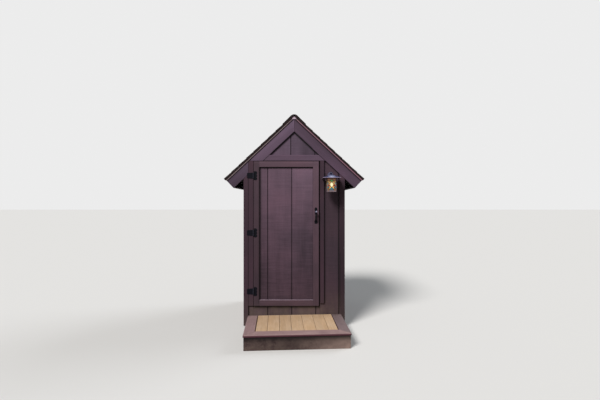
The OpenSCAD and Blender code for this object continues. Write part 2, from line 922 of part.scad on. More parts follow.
module latch_bar() {
    color(iron) translate([bar_pivot_x, bar_y + bar_t, bar_z]) rotate([90, 0, 0])
        linear_extrude(bar_t) difference() {
            union() {
                circle(bar_h / 2);
                area([0, -bar_h / 2], [bar_l, bar_h / 2]);
            }
            circle(small_pin_r + pin_play);
        }
}

// Lantern

// Places children round the lantern's middle line
module at_lantern() {
    translate([lantern_x, lantern_y, 0]) children();
}

module lantern_mount() {
    reach = 2 * arm_r - half_d - lantern_y;
    color(iron) translate([lantern_x, -half_d, 0]) {
        translate([0, 0, arm_z - canopy_r / 2]) rotate([90, 0, 0]) cylinder(r = canopy_r, h = plate_t * 3);
        translate([0, 0, arm_z]) rotate([90, 0, 0]) {
            cylinder(r = arm_r, h = reach);
            translate([0, 0, reach]) sphere(arm_r * 1.5);
        }
    }
}

// Half-width of the square cap at a height: wide and flat below, steep near the top
function cap_half(h) = arm_r + (cap_w / 2 - arm_r) * pow(1 - h / cap_h, cap_curve);

module lantern_cap() {
    rings = 8;
    levels = concat([[0, cap_w / 2], [cap_rim, cap_w / 2]],
                    [for (i = [1:rings]) [cap_rim + (cap_h - cap_rim) * i / rings,
                                          cap_half(cap_h * i / rings)]]);
    corners = [for (level = levels) each [
        [-level[1], -level[1], level[0]], [level[1], -level[1], level[0]],
        [level[1], level[1], level[0]], [-level[1], level[1], level[0]]
    ]];
    last = 4 * (len(levels) - 1);
    sides = [for (i = [0:len(levels) - 2]) for (j = [0:3])
        [4 * i + j, 4 * i + 4 + j, 4 * i + 4 + (j + 1) % 4, 4 * i + (j + 1) % 4]];
    eye = arm_r + touch;
    ring_r = arm_r * 0.6;
    color(zinc) at_lantern() {
        translate([0, 0, cap_z])
            polyhedron(corners, concat([[0, 1, 2, 3]], sides,
                                       [[last + 3, last + 2, last + 1, last]]));
        translate([0, 0, cap_z + cap_h - cap_rim]) cylinder(r = arm_r, h = arm_z - cap_z - cap_h - eye);
        translate([0, 0, arm_z]) rotate([90, 0, 0]) rotate_extrude()
            translate([eye + ring_r, 0]) circle(ring_r, $fn = 24);
    }
}

// A square ring of bars
module square_ring(h) {
    linear_extrude(h) difference() {
        square(lantern_w, center = true);
        square(lantern_w - 2 * lantern_bar, center = true);
    }
}

module lantern_frame() {
    color(iron) at_lantern() translate([0, 0, lantern_z]) {
        square_ring(2 * lantern_bar);
        translate([0, 0, lantern_h - lantern_bar]) square_ring(lantern_bar);
        for (x = [-1, 1]) for (y = [-1, 1])
            translate([x * (lantern_w - lantern_bar) / 2, y * (lantern_w - lantern_bar) / 2, lantern_h / 2])
                cube([lantern_bar, lantern_bar, lantern_h], center = true);
        translate([0, 0, pane_t / 2])
            cube([lantern_w - lantern_bar, lantern_w - lantern_bar, pane_t], center = true);
    }
}

module lantern_glass() {
    wide = lantern_w - 2 * lantern_bar;
    high = lantern_h - 3 * lantern_bar;
    color(glass_col) at_lantern() for (i = [0:3]) rotate(90 * i)
        translate([0, (lantern_w - lantern_bar) / 2, lantern_z + 2 * lantern_bar + high / 2])
            cube([wide, pane_t, high], center = true);
}

// Step

// Places children from the step's right back corner, with the step's front towards -Y
module on_step() {
    translate([trim_x - step_inset, -trim_y - touch, 0]) rotate(step_yaw) children();
}

module step_skirts() {
    left = -step_w + step_over;
    front = -step_d + step_over;
    color(stain_dark) on_step() {
        block([left, front, 0], [-step_over, front + skirt_t, skirt_h]);
        block([left, front + skirt_t + touch, 0], [left + skirt_t, -touch, skirt_h]);
        block([-step_over - skirt_t, front + skirt_t + touch, 0], [-step_over, -touch, skirt_h]);
    }
}

module step_bearers() {
    bearers = 3;
    left = -step_w + step_over + skirt_t;
    front = -step_d + step_over + skirt_t;
    step = (-front - lumber_t - touch) / bearers;
    color(raw_wood) on_step() for (i = [1:bearers])
        translate([left, front + i * step, siding_low])
            cube([step_w - 2 * (step_over + skirt_t), lumber_t, skirt_h - siding_low]);
}

// A ripped board at the left, full boards, and one ripped to the width that is left,
// which is no less than a share of a full one
module step_boards() {
    least = 0.25;
    low_x = -step_w + border_w + border_gap;
    high_x = -border_w - border_gap;
    low_y = -step_d + border_front_w + board_gap;
    full_x = low_x + step_first_w + board_gap;
    pitch = step_board_w + board_gap;
    full = floor((high_x - full_x + board_gap) / pitch - least);
    color(deck_col) on_step() {
        block([low_x, low_y, skirt_h], [low_x + step_first_w, 0, step_h]);
        for (i = [0:full])
            block([full_x + i * pitch, low_y, skirt_h],
                  [i < full ? full_x + i * pitch + step_board_w : high_x, 0, step_h]);
    }
}

// Section of a border board between two places, with its outer edge rounded at the first place
module nosed_section(outer, inner) {
    side = sign(inner - outer);
    middle = outer + side * nose_r;
    area([min(middle, inner), skirt_h], [max(middle, inner), step_h]);
    area([min(outer, inner), skirt_h + nose_r], [max(outer, inner), step_h - nose_r]);
    for (z = [skirt_h + nose_r, step_h - nose_r]) translate([middle, z]) circle(nose_r);
}

// Border boards, mitred where the sides meet the front
module step_border() {
    edge = board_gap / 2;
    back = -step_d + border_front_w;
    color(stain) on_step() {
        intersection() {
            along_x(-step_w, step_w) nosed_section(-step_d, back);
            linear_extrude(far) polygon([[-step_w + edge, -step_d], [-edge, -step_d],
                                         [-border_w - edge, back], [-step_w + border_w + edge, back]]);
        }
        intersection() {
            along_y(-step_d, step_d) nosed_section(-step_w, -step_w + border_w);
            linear_extrude(far) polygon([[-step_w, 0], [-step_w, -step_d + edge],
                                         [-step_w + border_w, back + edge], [-step_w + border_w, 0]]);
        }
        intersection() {
            along_y(-step_d, step_d) nosed_section(0, -border_w);
            linear_extrude(far) polygon([[0, 0], [0, -step_d + edge],
                                         [-border_w, back + edge], [-border_w, 0]]);
        }
    }
}

floor_skids();
floor_joists();
floor_sheet();
wall_plates();
wall_studs();
door_header();
door_sill();
door_stops();
ridge_board();
rafters();
roof_sheathing();
roof_shingles();
ridge_cap();
drip_edges();
rake_boards_left();
rake_boards_right();
eave_fascias();
front_wall_left();
front_wall_right();
front_wall_base();
front_gable();
back_wall();
left_wall();
right_wall();
tie_board();
corner_boards();
side_corner_boards();
door_casings();
hinge_straps();
lantern_mount();
lantern_cap();
lantern_frame();
lantern_glass();
step_skirts();
step_bearers();
step_boards();
step_border();
door_panel();
door_trim();
door_ledges();
hinge_plates();
door_handle();
thumb_lever();
latch_base();
latch_bar();
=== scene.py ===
"""A wooden outhouse: materials, shingle tabs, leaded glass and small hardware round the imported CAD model."""
import math
import random

import bmesh
import bpy
from mathutils import Matrix, Vector


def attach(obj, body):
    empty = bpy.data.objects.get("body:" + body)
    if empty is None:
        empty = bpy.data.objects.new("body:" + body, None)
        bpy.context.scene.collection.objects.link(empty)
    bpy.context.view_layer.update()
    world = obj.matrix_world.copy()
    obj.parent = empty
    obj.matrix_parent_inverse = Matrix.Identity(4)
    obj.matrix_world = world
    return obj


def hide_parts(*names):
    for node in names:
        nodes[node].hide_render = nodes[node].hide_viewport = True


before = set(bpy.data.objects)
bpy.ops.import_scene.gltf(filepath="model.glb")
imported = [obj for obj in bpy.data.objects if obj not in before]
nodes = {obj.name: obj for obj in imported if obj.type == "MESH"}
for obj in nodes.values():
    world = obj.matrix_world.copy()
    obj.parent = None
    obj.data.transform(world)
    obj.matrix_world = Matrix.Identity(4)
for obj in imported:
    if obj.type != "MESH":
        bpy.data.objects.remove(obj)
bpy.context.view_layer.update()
rng = random.Random(11)

# Sizes of part.scad that the looks and pieces below follow, in metres and radians

HALF_W = 0.621  # the siding's outer faces, in X and in Y alike
TRIM_Y = 0.640  # the trim's outer faces
PITCH = math.radians(42.9)
SLOPE = math.tan(PITCH)
GABLE_Z = 2.47594  # where the rake boards' lower edges would meet
EAVE_T = 0.768 / math.cos(PITCH)  # the eave, down the slope from there
COURSE = 0.127
SHINGLE_S = 0.1416  # the shingles' underside, square above the rake boards' lower edges
SHINGLE_T = 0.026
SHINGLE_OVER = 0.009
ROOF_Y = TRIM_Y + SHINGLE_OVER
CAP_S = SHINGLE_S + SHINGLE_T + 0.0003
CAP_T = 0.005
CAP_BEND = 0.060
CAP_LEG = 0.150
STEP_YAW = math.radians(3.4)
STEP_CORNER = Vector((0.594, -0.6403, 0.0))  # its right back corner
STEP_W = 1.172
STEP_D = 0.658
BORDER_W = 0.120
BORDER_GAP = 0.011
BOARD_W = 0.133
FIRST_W = 0.123  # the leftmost board
BOARD_GAP = 0.0035
LANTERN = Vector((0.459, -0.756, 1.7975))  # the middle of its frame
PANE_OUT = 0.055  # the outer face of its panes, from the middle
HINGE_X = -0.5155  # the pins
DOOR_Z = 0.270  # the door's lower edge
DOOR_H = 1.831
HINGE_Z = [DOOR_Z + 0.184, DOOR_Z + 0.925, DOOR_Z + DOOR_H - 0.183]

# Depths that tell the faces of the walls apart, and turns that lay the grain of wood, which runs along Z

FRONT_Y = 0.013 - HALF_W  # whatever lies in front of this is on the hut's front
GROOVE_D = HALF_W - 0.001  # siding further in than this is in a groove
INNER_D = HALF_W - 0.0155  # and further in than this it is the inner face
TAIL_X = 0.606  # |X| where the roof's wood comes out of the walls
ROUND_REST = 0.0015  # how wide the edges of nodes are rounded that ROUND doesn't name
ALONG_X = (0, math.pi / 2, 0)
ALONG_Y = (math.pi / 2, 0, 0)


# Colour

def lin(r, g, b):
    """A colour written as sRGB values from 0 to 255, as linear RGBA."""
    def one(c):
        c = c / 255
        return c / 12.92 if c <= 0.04045 else ((c + 0.055) / 1.055) ** 2.4
    return (one(r), one(g), one(b), 1.0)


def times(colour, r, g, b):
    """A colour with its red, green and blue multiplied."""
    return (colour[0] * r, colour[1] * g, colour[2] * b, 1)


# Material nodes

class Surface:
    """A material and short calls that add nodes to it.

    Each value that a call takes is a number, a colour or a socket. Most calls give back a socket.
    """

    def __init__(self, name):
        self.mat = bpy.data.materials.new(name)
        self.mat.use_nodes = True
        self.tree = self.mat.node_tree
        self.bsdf = self.tree.nodes["Principled BSDF"]
        self.place = self.add("ShaderNodeTexCoord").outputs["Object"]

    def fill(self, made, inputs):
        """Links or writes values into a node's inputs, by name or number."""
        for key, value in inputs.items():
            if isinstance(value, bpy.types.NodeSocket):
                self.tree.links.new(value, made.inputs[key])
            else:
                made.inputs[key].default_value = value

    def add(self, kind, inputs=None, **props):
        """A new node, with its properties set and its inputs filled."""
        made = self.tree.nodes.new(kind)
        for key, value in props.items():
            setattr(made, key, value)
        self.fill(made, inputs or {})
        return made

    def set(self, **values):
        """Sets the shader's inputs, written with _ for a space."""
        self.fill(self.bsdf, {key.replace("_", " "): value for key, value in values.items()})

    def bump(self, height, depth, strength):
        """Lets a height shape the shader's normal."""
        made = self.add("ShaderNodeBump", {"Strength": strength, "Distance": depth, "Height": height})
        self.set(Normal=made.outputs["Normal"])

    def peel(self, depth, scale=260):
        """The fine orange peel of paint on metal, as bump."""
        self.bump(self.noise(self.place, scale, 3, 0.6), depth, 0.5)

    def turned(self, turn=(0, 0, 0), scale=(1, 1, 1), shift=(0, 0, 0), vector=None):
        """Places scaled, turned and then shifted."""
        inputs = {"Vector": vector or self.place, "Location": shift, "Rotation": turn, "Scale": scale}
        return self.add("ShaderNodeMapping", inputs).outputs["Vector"]

    def axis(self, name, vector=None):
        """The X, Y or Z of places."""
        return self.add("ShaderNodeSeparateXYZ", {0: vector or self.place}).outputs[name]

    def off(self, name, middle=0.0):
        """How far places lie from a middle along one axis, on either side."""
        return self.calc("ABSOLUTE", self.calc("SUBTRACT", self.axis(name), middle))

    def noise(self, vector, scale, detail=3.0, rough=0.5, twist=0.0):
        """Cloudy noise around 0.5."""
        inputs = {"Vector": vector, "Scale": scale, "Detail": detail, "Roughness": rough, "Distortion": twist}
        return self.add("ShaderNodeTexNoise", inputs).outputs["Fac"]

    def bands(self, vector, scale, twist, direction, fine):
        """Wavy bands square to a direction."""
        inputs = {"Vector": vector, "Scale": scale, "Distortion": twist, "Detail": 3, "Detail Scale": fine}
        made = self.add("ShaderNodeTexWave", inputs, wave_type="BANDS", bands_direction=direction)
        return made.outputs["Fac"]

    def calc(self, op, first, *others):
        """A sum, a product or another operation along its values, from the left."""
        out = first
        for other in others or (0.0,):
            out = self.add("ShaderNodeMath", {0: out, 1: other}, operation=op).outputs[0]
        return out

    def span(self, value, low, high, out_low=0.0, out_high=1.0):
        """The value with its range from low to high stretched to out_low to out_high, and clamped there."""
        inputs = (value, low, high, out_low, out_high)
        return self.add("ShaderNodeMapRange", dict(enumerate(inputs))).outputs["Result"]

    def around(self, noise, reach, middle=0.0):
        """Noise stretched to a reach on either side of a middle."""
        return self.span(noise, 0.3, 0.7, middle - reach, middle + reach)

    def spots(self, amount, low=0.62):
        """Where small worn spots lie, and how strong they are at most."""
        return self.span(self.noise(self.place, 90, 6, 0.8), low, 0.68, 0, amount)

    def mix(self, factor, a, b):
        """A blend of two colours."""
        return self.add("ShaderNodeMix", {0: factor, 6: a, 7: b}, data_type="RGBA").outputs[2]

    def choose(self, factor, a, b):
        """The vector a where the factor is 0, and b where it is 1."""
        return self.add("ShaderNodeMix", {0: factor, 4: a, 5: b}, data_type="VECTOR").outputs[1]

    def shade(self, colour, amount):
        """The colour times a number."""
        colour = colour if isinstance(colour, bpy.types.NodeSocket) else colour[:3]
        inputs = {0: colour, "Scale": amount}
        return self.add("ShaderNodeVectorMath", inputs, operation="SCALE").outputs[0]


def inside(m, x0, x1, z0, z1):
    """1 where a place lies within limits of X and Z, 0 elsewhere."""
    x, z = m.axis("X"), m.axis("Z")
    return m.calc("MULTIPLY", m.calc("GREATER_THAN", x, x0), m.calc("LESS_THAN", x, x1),
                  m.calc("GREATER_THAN", z, z0), m.calc("LESS_THAN", z, z1))


def toned(m, value, where, source, start, end, low, high):
    """The value times a tone where a mask is 1, and unchanged elsewhere.

    The tone runs from low to high while the source runs from start to end.
    """
    change = m.span(source, start, end, low - 1, high - 1)
    return m.calc("MULTIPLY", value, m.calc("ADD", m.calc("MULTIPLY", change, where), 1.0))


def front_tones(m, value, places):
    """The value times tones on the front of the hut, which paint light and shade there.

    A place has its limits of X and Z, an axis, and the tones at its low and high ends along that axis.
    """
    front = m.calc("LESS_THAN", m.axis("Y"), FRONT_Y)
    for x0, x1, z0, z1, axis, low, high in places:
        ends = (x0, x1) if axis == "X" else (z0, z1)
        where = m.calc("MULTIPLY", front, inside(m, x0, x1, z0, z1))
        value = toned(m, value, where, m.axis(axis), *ends, low, high)
    return value


def slope_height(m):
    """How far a place lies above the rake boards' lower edges, square to the roof's slope."""
    return m.calc("ADD", m.calc("MULTIPLY", m.off("X"), math.sin(PITCH)),
                  m.calc("MULTIPLY", m.calc("SUBTRACT", m.axis("Z"), GABLE_Z), math.cos(PITCH)))


def slope_tones(m, value, places):
    """The value times tones that follow the roof's slope, which paint light and shade along the rake boards.

    A place has two heights as slope_height gives them, the tones there, and the |X| up to which it reaches.
    """
    for start, end, low, high, reach in places:
        where = m.calc("LESS_THAN", m.off("X"), reach)
        value = toned(m, value, where, slope_height(m), start, end, low, high)
    return value


def wood_parts(m, vector, coarse, fine, streak):
    """Grain along the vector's Z: coarse figure, fine fibres and long streaks, each around 0.5."""
    figure = m.noise(m.turned(scale=(1, 1, 0.035), vector=vector), coarse, 4, 0.6, 0.4)
    fibre = m.noise(m.turned(scale=(1, 1, 0.02), vector=vector), fine, 2, 0.5)
    run = m.noise(m.turned(scale=(1, 1, 0.12), vector=vector), streak, 3, 0.55)
    return figure, fibre, run


def stained_wood(name, colour, turn=(0, 0, 0), shift=(0, 0, 0), across=(), saw=0.0, top_light=0.0, dirt=0.5,
                 tones=(), slope=(), sheet=False, ledge=None):
    """Solid-stained wood.

    turn and shift lay the grain, and across holds limits of X and Z in which it runs along X.
    saw is how strong the saw marks are, top_light how strongly painted light makes it paler towards the top
    and darker towards the bottom, dirt how much dirt settles near the ground.
    tones are places for front_tones, and slope those for slope_tones; both paint light and shade.
    sheet marks siding, whose grooves are darkened with painted shade and whose inner face is bare.
    ledge has the limits of X and the height of a top edge that is made paler: dusty, and with a painted
    highlight.
    """
    m = Surface(name)
    along = m.turned(turn, shift=shift)
    if across:
        where = m.calc("MAXIMUM", *[inside(m, *limits) for limits in across])
        along = m.choose(where, along, m.turned(ALONG_X, shift=shift))

    figure, fibre, run = wood_parts(m, along, 55, 330, 11)
    patch = m.noise(m.turned(shift=shift), 1.7, 3, 0.55)
    light = m.calc("ADD", m.around(figure, 0.08), m.around(fibre, 0.05), m.around(run, 0.12),
                   m.around(patch, 0.12))
    height = m.calc("ADD", m.calc("MULTIPLY", figure, 0.6), m.calc("MULTIPLY", fibre, 0.4))
    if saw:
        marks = m.noise(m.turned(scale=(0.07, 0.07, 1), vector=along), 55, 5, 0.75, 0.4)
        rows = m.bands(along, 60, 6.0, "Z", 1.5)
        light = m.calc("ADD", light, m.around(marks, saw))
        ridges = m.calc("ADD", marks, m.calc("MULTIPLY", rows, 0.4))
        height = m.calc("ADD", height, m.calc("MULTIPLY", ridges, 3 * saw))
    # Painted light: paler towards the top and darker towards the bottom
    if top_light:
        high = m.calc("ADD", m.axis("Z"), m.around(patch, 0.2))
        light = m.calc("ADD", light, m.span(high, 0.7, 1.9, -top_light, top_light))
    tone = front_tones(m, m.calc("ADD", light, 1.0), tones)
    tone = slope_tones(m, tone, slope)
    warm = m.mix(m.span(patch, 0.35, 0.65), colour, times(colour, 1.08, 0.97, 0.97))
    stained = m.shade(warm, tone)

    low = m.span(m.axis("Z"), 0.05, 0.6, 1, 0)
    dust_and_highlight = m.span(m.noise(m.turned(scale=(1, 1, 0.5)), 9, 5, 0.7), 0.25, 0.75, 0.2, 1.0)
    stained = m.mix(m.calc("MULTIPLY", low, low, dust_and_highlight, dirt), stained, lin(112, 96, 84))
    worn = m.span(m.noise(m.turned(scale=(1, 1, 0.3), vector=along), 70, 6, 0.8), 0.66, 0.72, 0, 0.3)
    stained = m.mix(worn, stained, m.shade(stained, 1.35))
    if sheet:
        # Painted shade in the grooves, and bare wood on the inner face
        face = m.calc("MAXIMUM", m.off("X"), m.off("Y"))
        stained = m.mix(m.calc("LESS_THAN", face, GROOVE_D), stained, m.shade(stained, 0.3))
        stained = m.mix(m.calc("LESS_THAN", face, INNER_D), stained, m.shade(lin(178, 146, 108), tone))
    # Dust and a painted highlight on the ledge's top edge
    if ledge:
        x0, x1, top = ledge
        edge = inside(m, x0, x1, top - ROUND_REST - 0.0001, top + 0.001)
        dust_and_highlight = m.calc("MULTIPLY", edge, m.span(run, 0.3, 0.6, 0.5, 1))
        stained = m.mix(dust_and_highlight, stained, lin(158, 139, 152))
    m.set(Base_Color=stained, Roughness=m.span(figure, 0.2, 0.8, 0.6, 0.78), Specular_IOR_Level=0.2)
    m.bump(height, 0.0012, 0.6)
    return m.mat


def bare_wood(name, colour, turn=(0, 0, 0), tails=False):
    """Bare softwood. tails marks wood of the roof that is stained, and painted dark as shade, where it comes
    out of the walls.
    """
    m = Surface(name)
    along = m.turned(turn)
    figure, fibre, run = wood_parts(m, along, 38, 300, 7)
    rings = m.bands(m.turned(scale=(1, 1, 0.05), vector=along), 16, 7, "X", 1.2)
    light = m.calc("ADD", m.around(figure, 0.08), m.around(fibre, 0.05), m.around(run, 0.1), 1.0)
    tint = m.mix(m.span(rings, 0.35, 1, 0, 0.45), colour, times(colour, 0.72, 0.55, 0.4))
    tint = m.shade(tint, light)
    # Stain and painted shade on the roof's wood outside the walls
    if tails:
        tint = m.mix(m.calc("GREATER_THAN", m.off("X"), TAIL_X), tint, m.shade(lin(36, 28, 31), light))
    m.set(Base_Color=tint, Roughness=0.7, Specular_IOR_Level=0.3)
    m.bump(m.calc("ADD", figure, fibre), 0.0008, 0.5)
    return m.mat


def in_step(m):
    """Places in the step's own directions: X along its front, from its right back corner."""
    moved = m.turned(shift=tuple(-STEP_CORNER))
    return m.turned((0, 0, -STEP_YAW), vector=moved)


def deck_boards(name):
    """Tan composite boards from back to front, each with a tone and a stretch of grain of its own."""
    m = Surface(name)
    seed, stretch = 4.3, 0.37
    flat = in_step(m)
    across = m.calc("ADD", m.axis("X", flat), STEP_W - BORDER_W - BORDER_GAP - FIRST_W - BOARD_GAP / 2)
    number = m.calc("FLOOR", m.calc("DIVIDE", across, BOARD_W + BOARD_GAP))
    own = m.add("ShaderNodeTexWhiteNoise", {"W": m.calc("ADD", number, seed)}, noise_dimensions="1D")
    push = m.add("ShaderNodeCombineXYZ", {"Y": m.calc("MULTIPLY", number, stretch)}).outputs[0]
    along = m.add("ShaderNodeVectorMath", {0: flat, 1: push}, operation="ADD").outputs[0]
    figure = m.noise(m.turned(scale=(1, 0.05, 1), vector=along), 75, 4, 0.65, 0.5)
    fibre = m.noise(m.turned(scale=(1, 0.03, 1), vector=along), 380, 2, 0.5)
    patch = m.noise(m.turned(scale=(1, 0.4, 1), vector=along), 9, 3, 0.6)
    light = m.calc("ADD", m.around(figure, 0.11), m.around(fibre, 0.06), m.around(patch, 0.1),
                   m.span(own.outputs["Value"], 0, 1, -0.06, 0.06), 1.0)
    tint = m.mix(m.span(patch, 0.35, 0.7), lin(182, 151, 118), lin(174, 149, 123))
    dirt = m.span(m.noise(flat, 26, 6, 0.75), 0.6, 0.72, 0, 0.3)
    tint = m.mix(dirt, m.shade(tint, light), lin(140, 112, 92))
    m.set(Base_Color=tint, Roughness=0.72, Specular_IOR_Level=0.3)
    m.bump(m.calc("ADD", figure, fibre), 0.0008, 0.5)
    return m.mat


def deck_border(name):
    """Mauve-brown border boards: grain along each board, grime and painted shade near the wall, a darker and
    greyer right board, and painted shade on the front of the nosing.
    """
    m = Surface(name)
    flat = in_step(m)
    x, y = m.axis("X", flat), m.axis("Y", flat)
    near_end = m.calc("MINIMUM", m.calc("ADD", x, STEP_W), m.calc("MULTIPLY", x, -1))
    front = m.calc("LESS_THAN", m.calc("ADD", y, STEP_D), near_end)
    along_y, along_x = m.turned(scale=(1, 0.05, 1), vector=flat), m.turned(scale=(0.05, 1, 1), vector=flat)
    along = m.choose(front, along_y, along_x)
    figure = m.noise(along, 75, 4, 0.65, 0.4)
    fibre = m.noise(along, 380, 2, 0.5)
    patch = m.noise(flat, 5, 4, 0.6)
    light = m.calc("ADD", m.around(figure, 0.08), m.around(fibre, 0.05), m.around(patch, 0.1), 1.0)
    tint = m.mix(m.span(patch, 0.3, 0.7), lin(134, 108, 109), lin(144, 119, 117))
    right = m.calc("MULTIPLY", m.calc("GREATER_THAN", x, -0.125), m.calc("SUBTRACT", 1.0, front))
    tint = m.mix(right, tint, m.shade(m.mix(0.4, tint, lin(128, 116, 120)), 0.68))
    # Grime and painted shade near the wall and towards the right
    grime_and_shade = m.calc("MULTIPLY", m.span(y, -0.5, 0, 0, 1), m.span(m.noise(flat, 18, 6, 0.8), 0.35, 0.6),
                   m.span(x, -0.5, -0.1, 0.35, 0.9))
    tint = m.mix(grime_and_shade, m.shade(tint, light), lin(86, 72, 70))
    # Painted shade on the front of the nosing
    edge = m.span(m.axis("Z"), 0.167, 0.158)
    tint = m.mix(edge, tint, lin(80, 43, 54))
    m.set(Base_Color=tint, Roughness=0.66, Specular_IOR_Level=0.35)
    m.bump(m.calc("ADD", figure, fibre), 0.0008, 0.5)
    return m.mat


def step_skirt(name):
    """Grimy stained boards, mottled by splashes, darkened with painted shade under the deck and paler towards
    both ends.
    """
    m = Surface(name)
    flat = in_step(m)
    x, z = m.axis("X", flat), m.axis("Z")
    figure = m.noise(m.turned(scale=(0.05, 1, 1), vector=flat), 60, 4, 0.6, 0.4)
    splash = m.noise(flat, 11, 8, 0.8)
    patch = m.noise(flat, 4, 3, 0.6)
    tint = m.mix(m.span(splash, 0.40, 0.58), lin(62, 46, 47), lin(106, 88, 84))
    tint = m.mix(m.span(patch, 0.35, 0.7, 0, 0.6), tint, lin(84, 68, 65))
    green = m.calc("MULTIPLY", m.span(z, 0.0, 0.12, 1, 0), m.span(splash, 0.4, 0.6, 0, 0.3))
    tint = m.shade(m.mix(green, tint, lin(78, 72, 56)), m.around(figure, 0.1, 1))
    paler_right = m.shade(lin(166, 141, 132), m.around(splash, 0.2, 1))
    tint = m.mix(m.span(x, -0.6, -0.05, 0, 0.85), tint, paler_right)
    # Painted shade under the deck's nosing, lighter towards the ground
    grime_and_shade = m.calc("MULTIPLY", m.span(z, 0.130, 0.085, 0.10, 0.60), m.span(z, 0.085, 0.010, 1.0, 1.4))
    pale = m.span(x, -1.1, -0.75, 1.25, 1.0)
    m.set(Base_Color=m.shade(tint, m.calc("MULTIPLY", grime_and_shade, pale)), Roughness=0.85, Specular_IOR_Level=0.25)
    m.bump(m.calc("ADD", figure, splash), 0.0015, 0.6)
    return m.mat


def shingle_surface(name):
    """Mineral granules in mixed browns, with a tone of its own on each tab and darker cut ends."""
    m = Surface(name)
    own = m.add("ShaderNodeAttribute", attribute_name="tone").outputs["Fac"]
    grain = m.add("ShaderNodeTexVoronoi", {"Vector": m.place, "Scale": 420}).outputs["Color"]
    speck = m.axis("X", grain)
    patch = m.noise(m.place, 7, 3, 0.6)
    tint = m.mix(own, lin(44, 34, 35), lin(80, 63, 58))
    tint = m.mix(m.span(speck, 0.55, 1.0), tint, lin(98, 79, 71))
    tint = m.mix(m.span(speck, 0.35, 0.0), tint, lin(30, 24, 26))
    tint = m.shade(tint, m.span(patch, 0.3, 0.7, 0.86, 1.12))
    cut_end = m.calc("GREATER_THAN", m.off("Y"), ROOF_Y - 0.0004)
    dark = m.shade(lin(34, 24, 26), m.span(speck, 0, 1, 0.7, 1.3))
    tint = m.mix(m.calc("MULTIPLY", cut_end, 0.8), tint, dark)
    m.set(Base_Color=tint, Roughness=0.92, Specular_IOR_Level=0.2)
    m.bump(speck, 0.0012, 0.7)
    return m.mat


def painted(name, colour, metal=0.0, wear=None, worn=0.0, shine=0.5):
    """Paint or powder coat on metal: fine orange peel, blotches, and worn spots of another colour."""
    m = Surface(name)
    blotch = m.noise(m.place, 14, 4, 0.6)
    tint = m.shade(colour, m.around(blotch, 0.15, 1))
    if wear:
        tint = m.mix(m.spots(worn), tint, wear)
    m.set(Base_Color=tint, Roughness=m.span(blotch, 0.3, 0.7, 0.44, 0.58), Metallic=metal)
    m.set(Specular_IOR_Level=shine)
    m.peel(0.0004)
    return m.mat


def cap_metal(name):
    """Zinc sheet, blue-grey: painted highlights on the middle of each slope, along the brim and on its rim,
    and painted shade on the tip and the underside.
    """
    m = Surface(name)
    near = m.calc("MINIMUM", m.off("X", LANTERN.x), m.off("Y", LANTERN.y))
    rise = m.calc("SUBTRACT", m.axis("Z"), LANTERN.z)
    blotch = m.noise(m.place, 22, 4, 0.6)
    # Painted highlights along the brim and on the middle of each slope
    brim = m.calc("MULTIPLY", m.span(rise, 0.0875, 0.084), m.span(near, 0.09, 0.01, 0.15, 0.8))
    painted_highlight = m.calc("MULTIPLY", m.span(near, 0.05, 0.004), m.span(rise, 0.118, 0.100))
    painted_highlight = m.calc("MULTIPLY", m.calc("MAXIMUM", painted_highlight, brim), m.span(blotch, 0.3, 0.6, 0.75, 1.0))
    # Painted shade on the tip, and a painted highlight on the brim's rim
    tip, edge = m.span(rise, 0.108, 0.128), m.span(rise, 0.0862, 0.0842)
    tint = m.mix(tip, lin(72, 80, 122), lin(44, 44, 68))
    tint = m.mix(painted_highlight, tint, lin(206, 212, 244))
    tint = m.mix(edge, tint, lin(160, 142, 164))
    # Painted shade on the underside
    facing = m.axis("Z", m.add("ShaderNodeNewGeometry").outputs["Normal"])
    under = m.span(facing, -0.3, -0.7)
    tint = m.mix(under, tint, lin(14, 9, 12))
    m.set(Base_Color=tint, Roughness=m.around(blotch, 0.06, 0.4), Metallic=0.45)
    m.peel(0.0003)
    return m.mat


def mount_metal(name):
    """The lantern's wall plate in blue-grey and its darker arm."""
    m = Surface(name)
    blotch = m.noise(m.place, 22, 4, 0.6)
    plate = m.span(m.axis("Y"), -0.664, -0.656)
    tint = m.mix(plate, lin(38, 38, 60), lin(84, 80, 102))
    m.set(Base_Color=m.shade(tint, m.around(blotch, 0.15, 1)), Roughness=0.4, Metallic=0.3)
    m.peel(0.0003)
    return m.mat


def lantern_bars(name):
    """The lantern's frame, with worn spots: paler at the foot, and dark brown with painted shade under the
    brim.
    """
    m = Surface(name)
    rise = m.calc("SUBTRACT", m.axis("Z"), LANTERN.z)
    blotch = m.noise(m.place, 14, 4, 0.6)
    # Painted shade of the brim on the frame's upper part
    upper = m.span(rise, 0.0, 0.05)
    tint = m.mix(upper, lin(124, 106, 112), lin(44, 29, 18))
    tint = m.mix(m.spots(0.4), tint, m.shade(tint, 1.5))
    m.set(Base_Color=m.shade(tint, m.around(blotch, 0.15, 1)), Roughness=0.45, Metallic=0.3)
    m.peel(0.0004)
    return m.mat


def drip_metal(name):
    """Painted drip edge: a dark face, darker still as painted shade under the shingles, over a lip painted
    pink as a highlight, and a greyer lap at the ridge.
    """
    m = Surface(name)
    up = slope_height(m)
    blotch = m.noise(m.place, 18, 4, 0.6)
    # A painted pink highlight on the lip, and painted shade on the face under the shingles
    lip, face = m.span(up, 0.125, 0.128), m.span(up, 0.135, 0.138)
    lap = m.calc("LESS_THAN", m.off("X"), 0.0275)
    pink = m.mix(m.span(m.axis("X"), -0.1, 0.1), lin(130, 110, 112), lin(140, 96, 112))
    tint = m.mix(lip, lin(44, 32, 38), pink)
    tint = m.mix(face, tint, lin(32, 22, 26))
    tint = m.mix(lap, tint, lin(112, 92, 106))
    m.set(Base_Color=m.shade(tint, m.around(blotch, 0.15, 1)), Roughness=0.5)
    m.peel(0.0004, 240)
    return m.mat


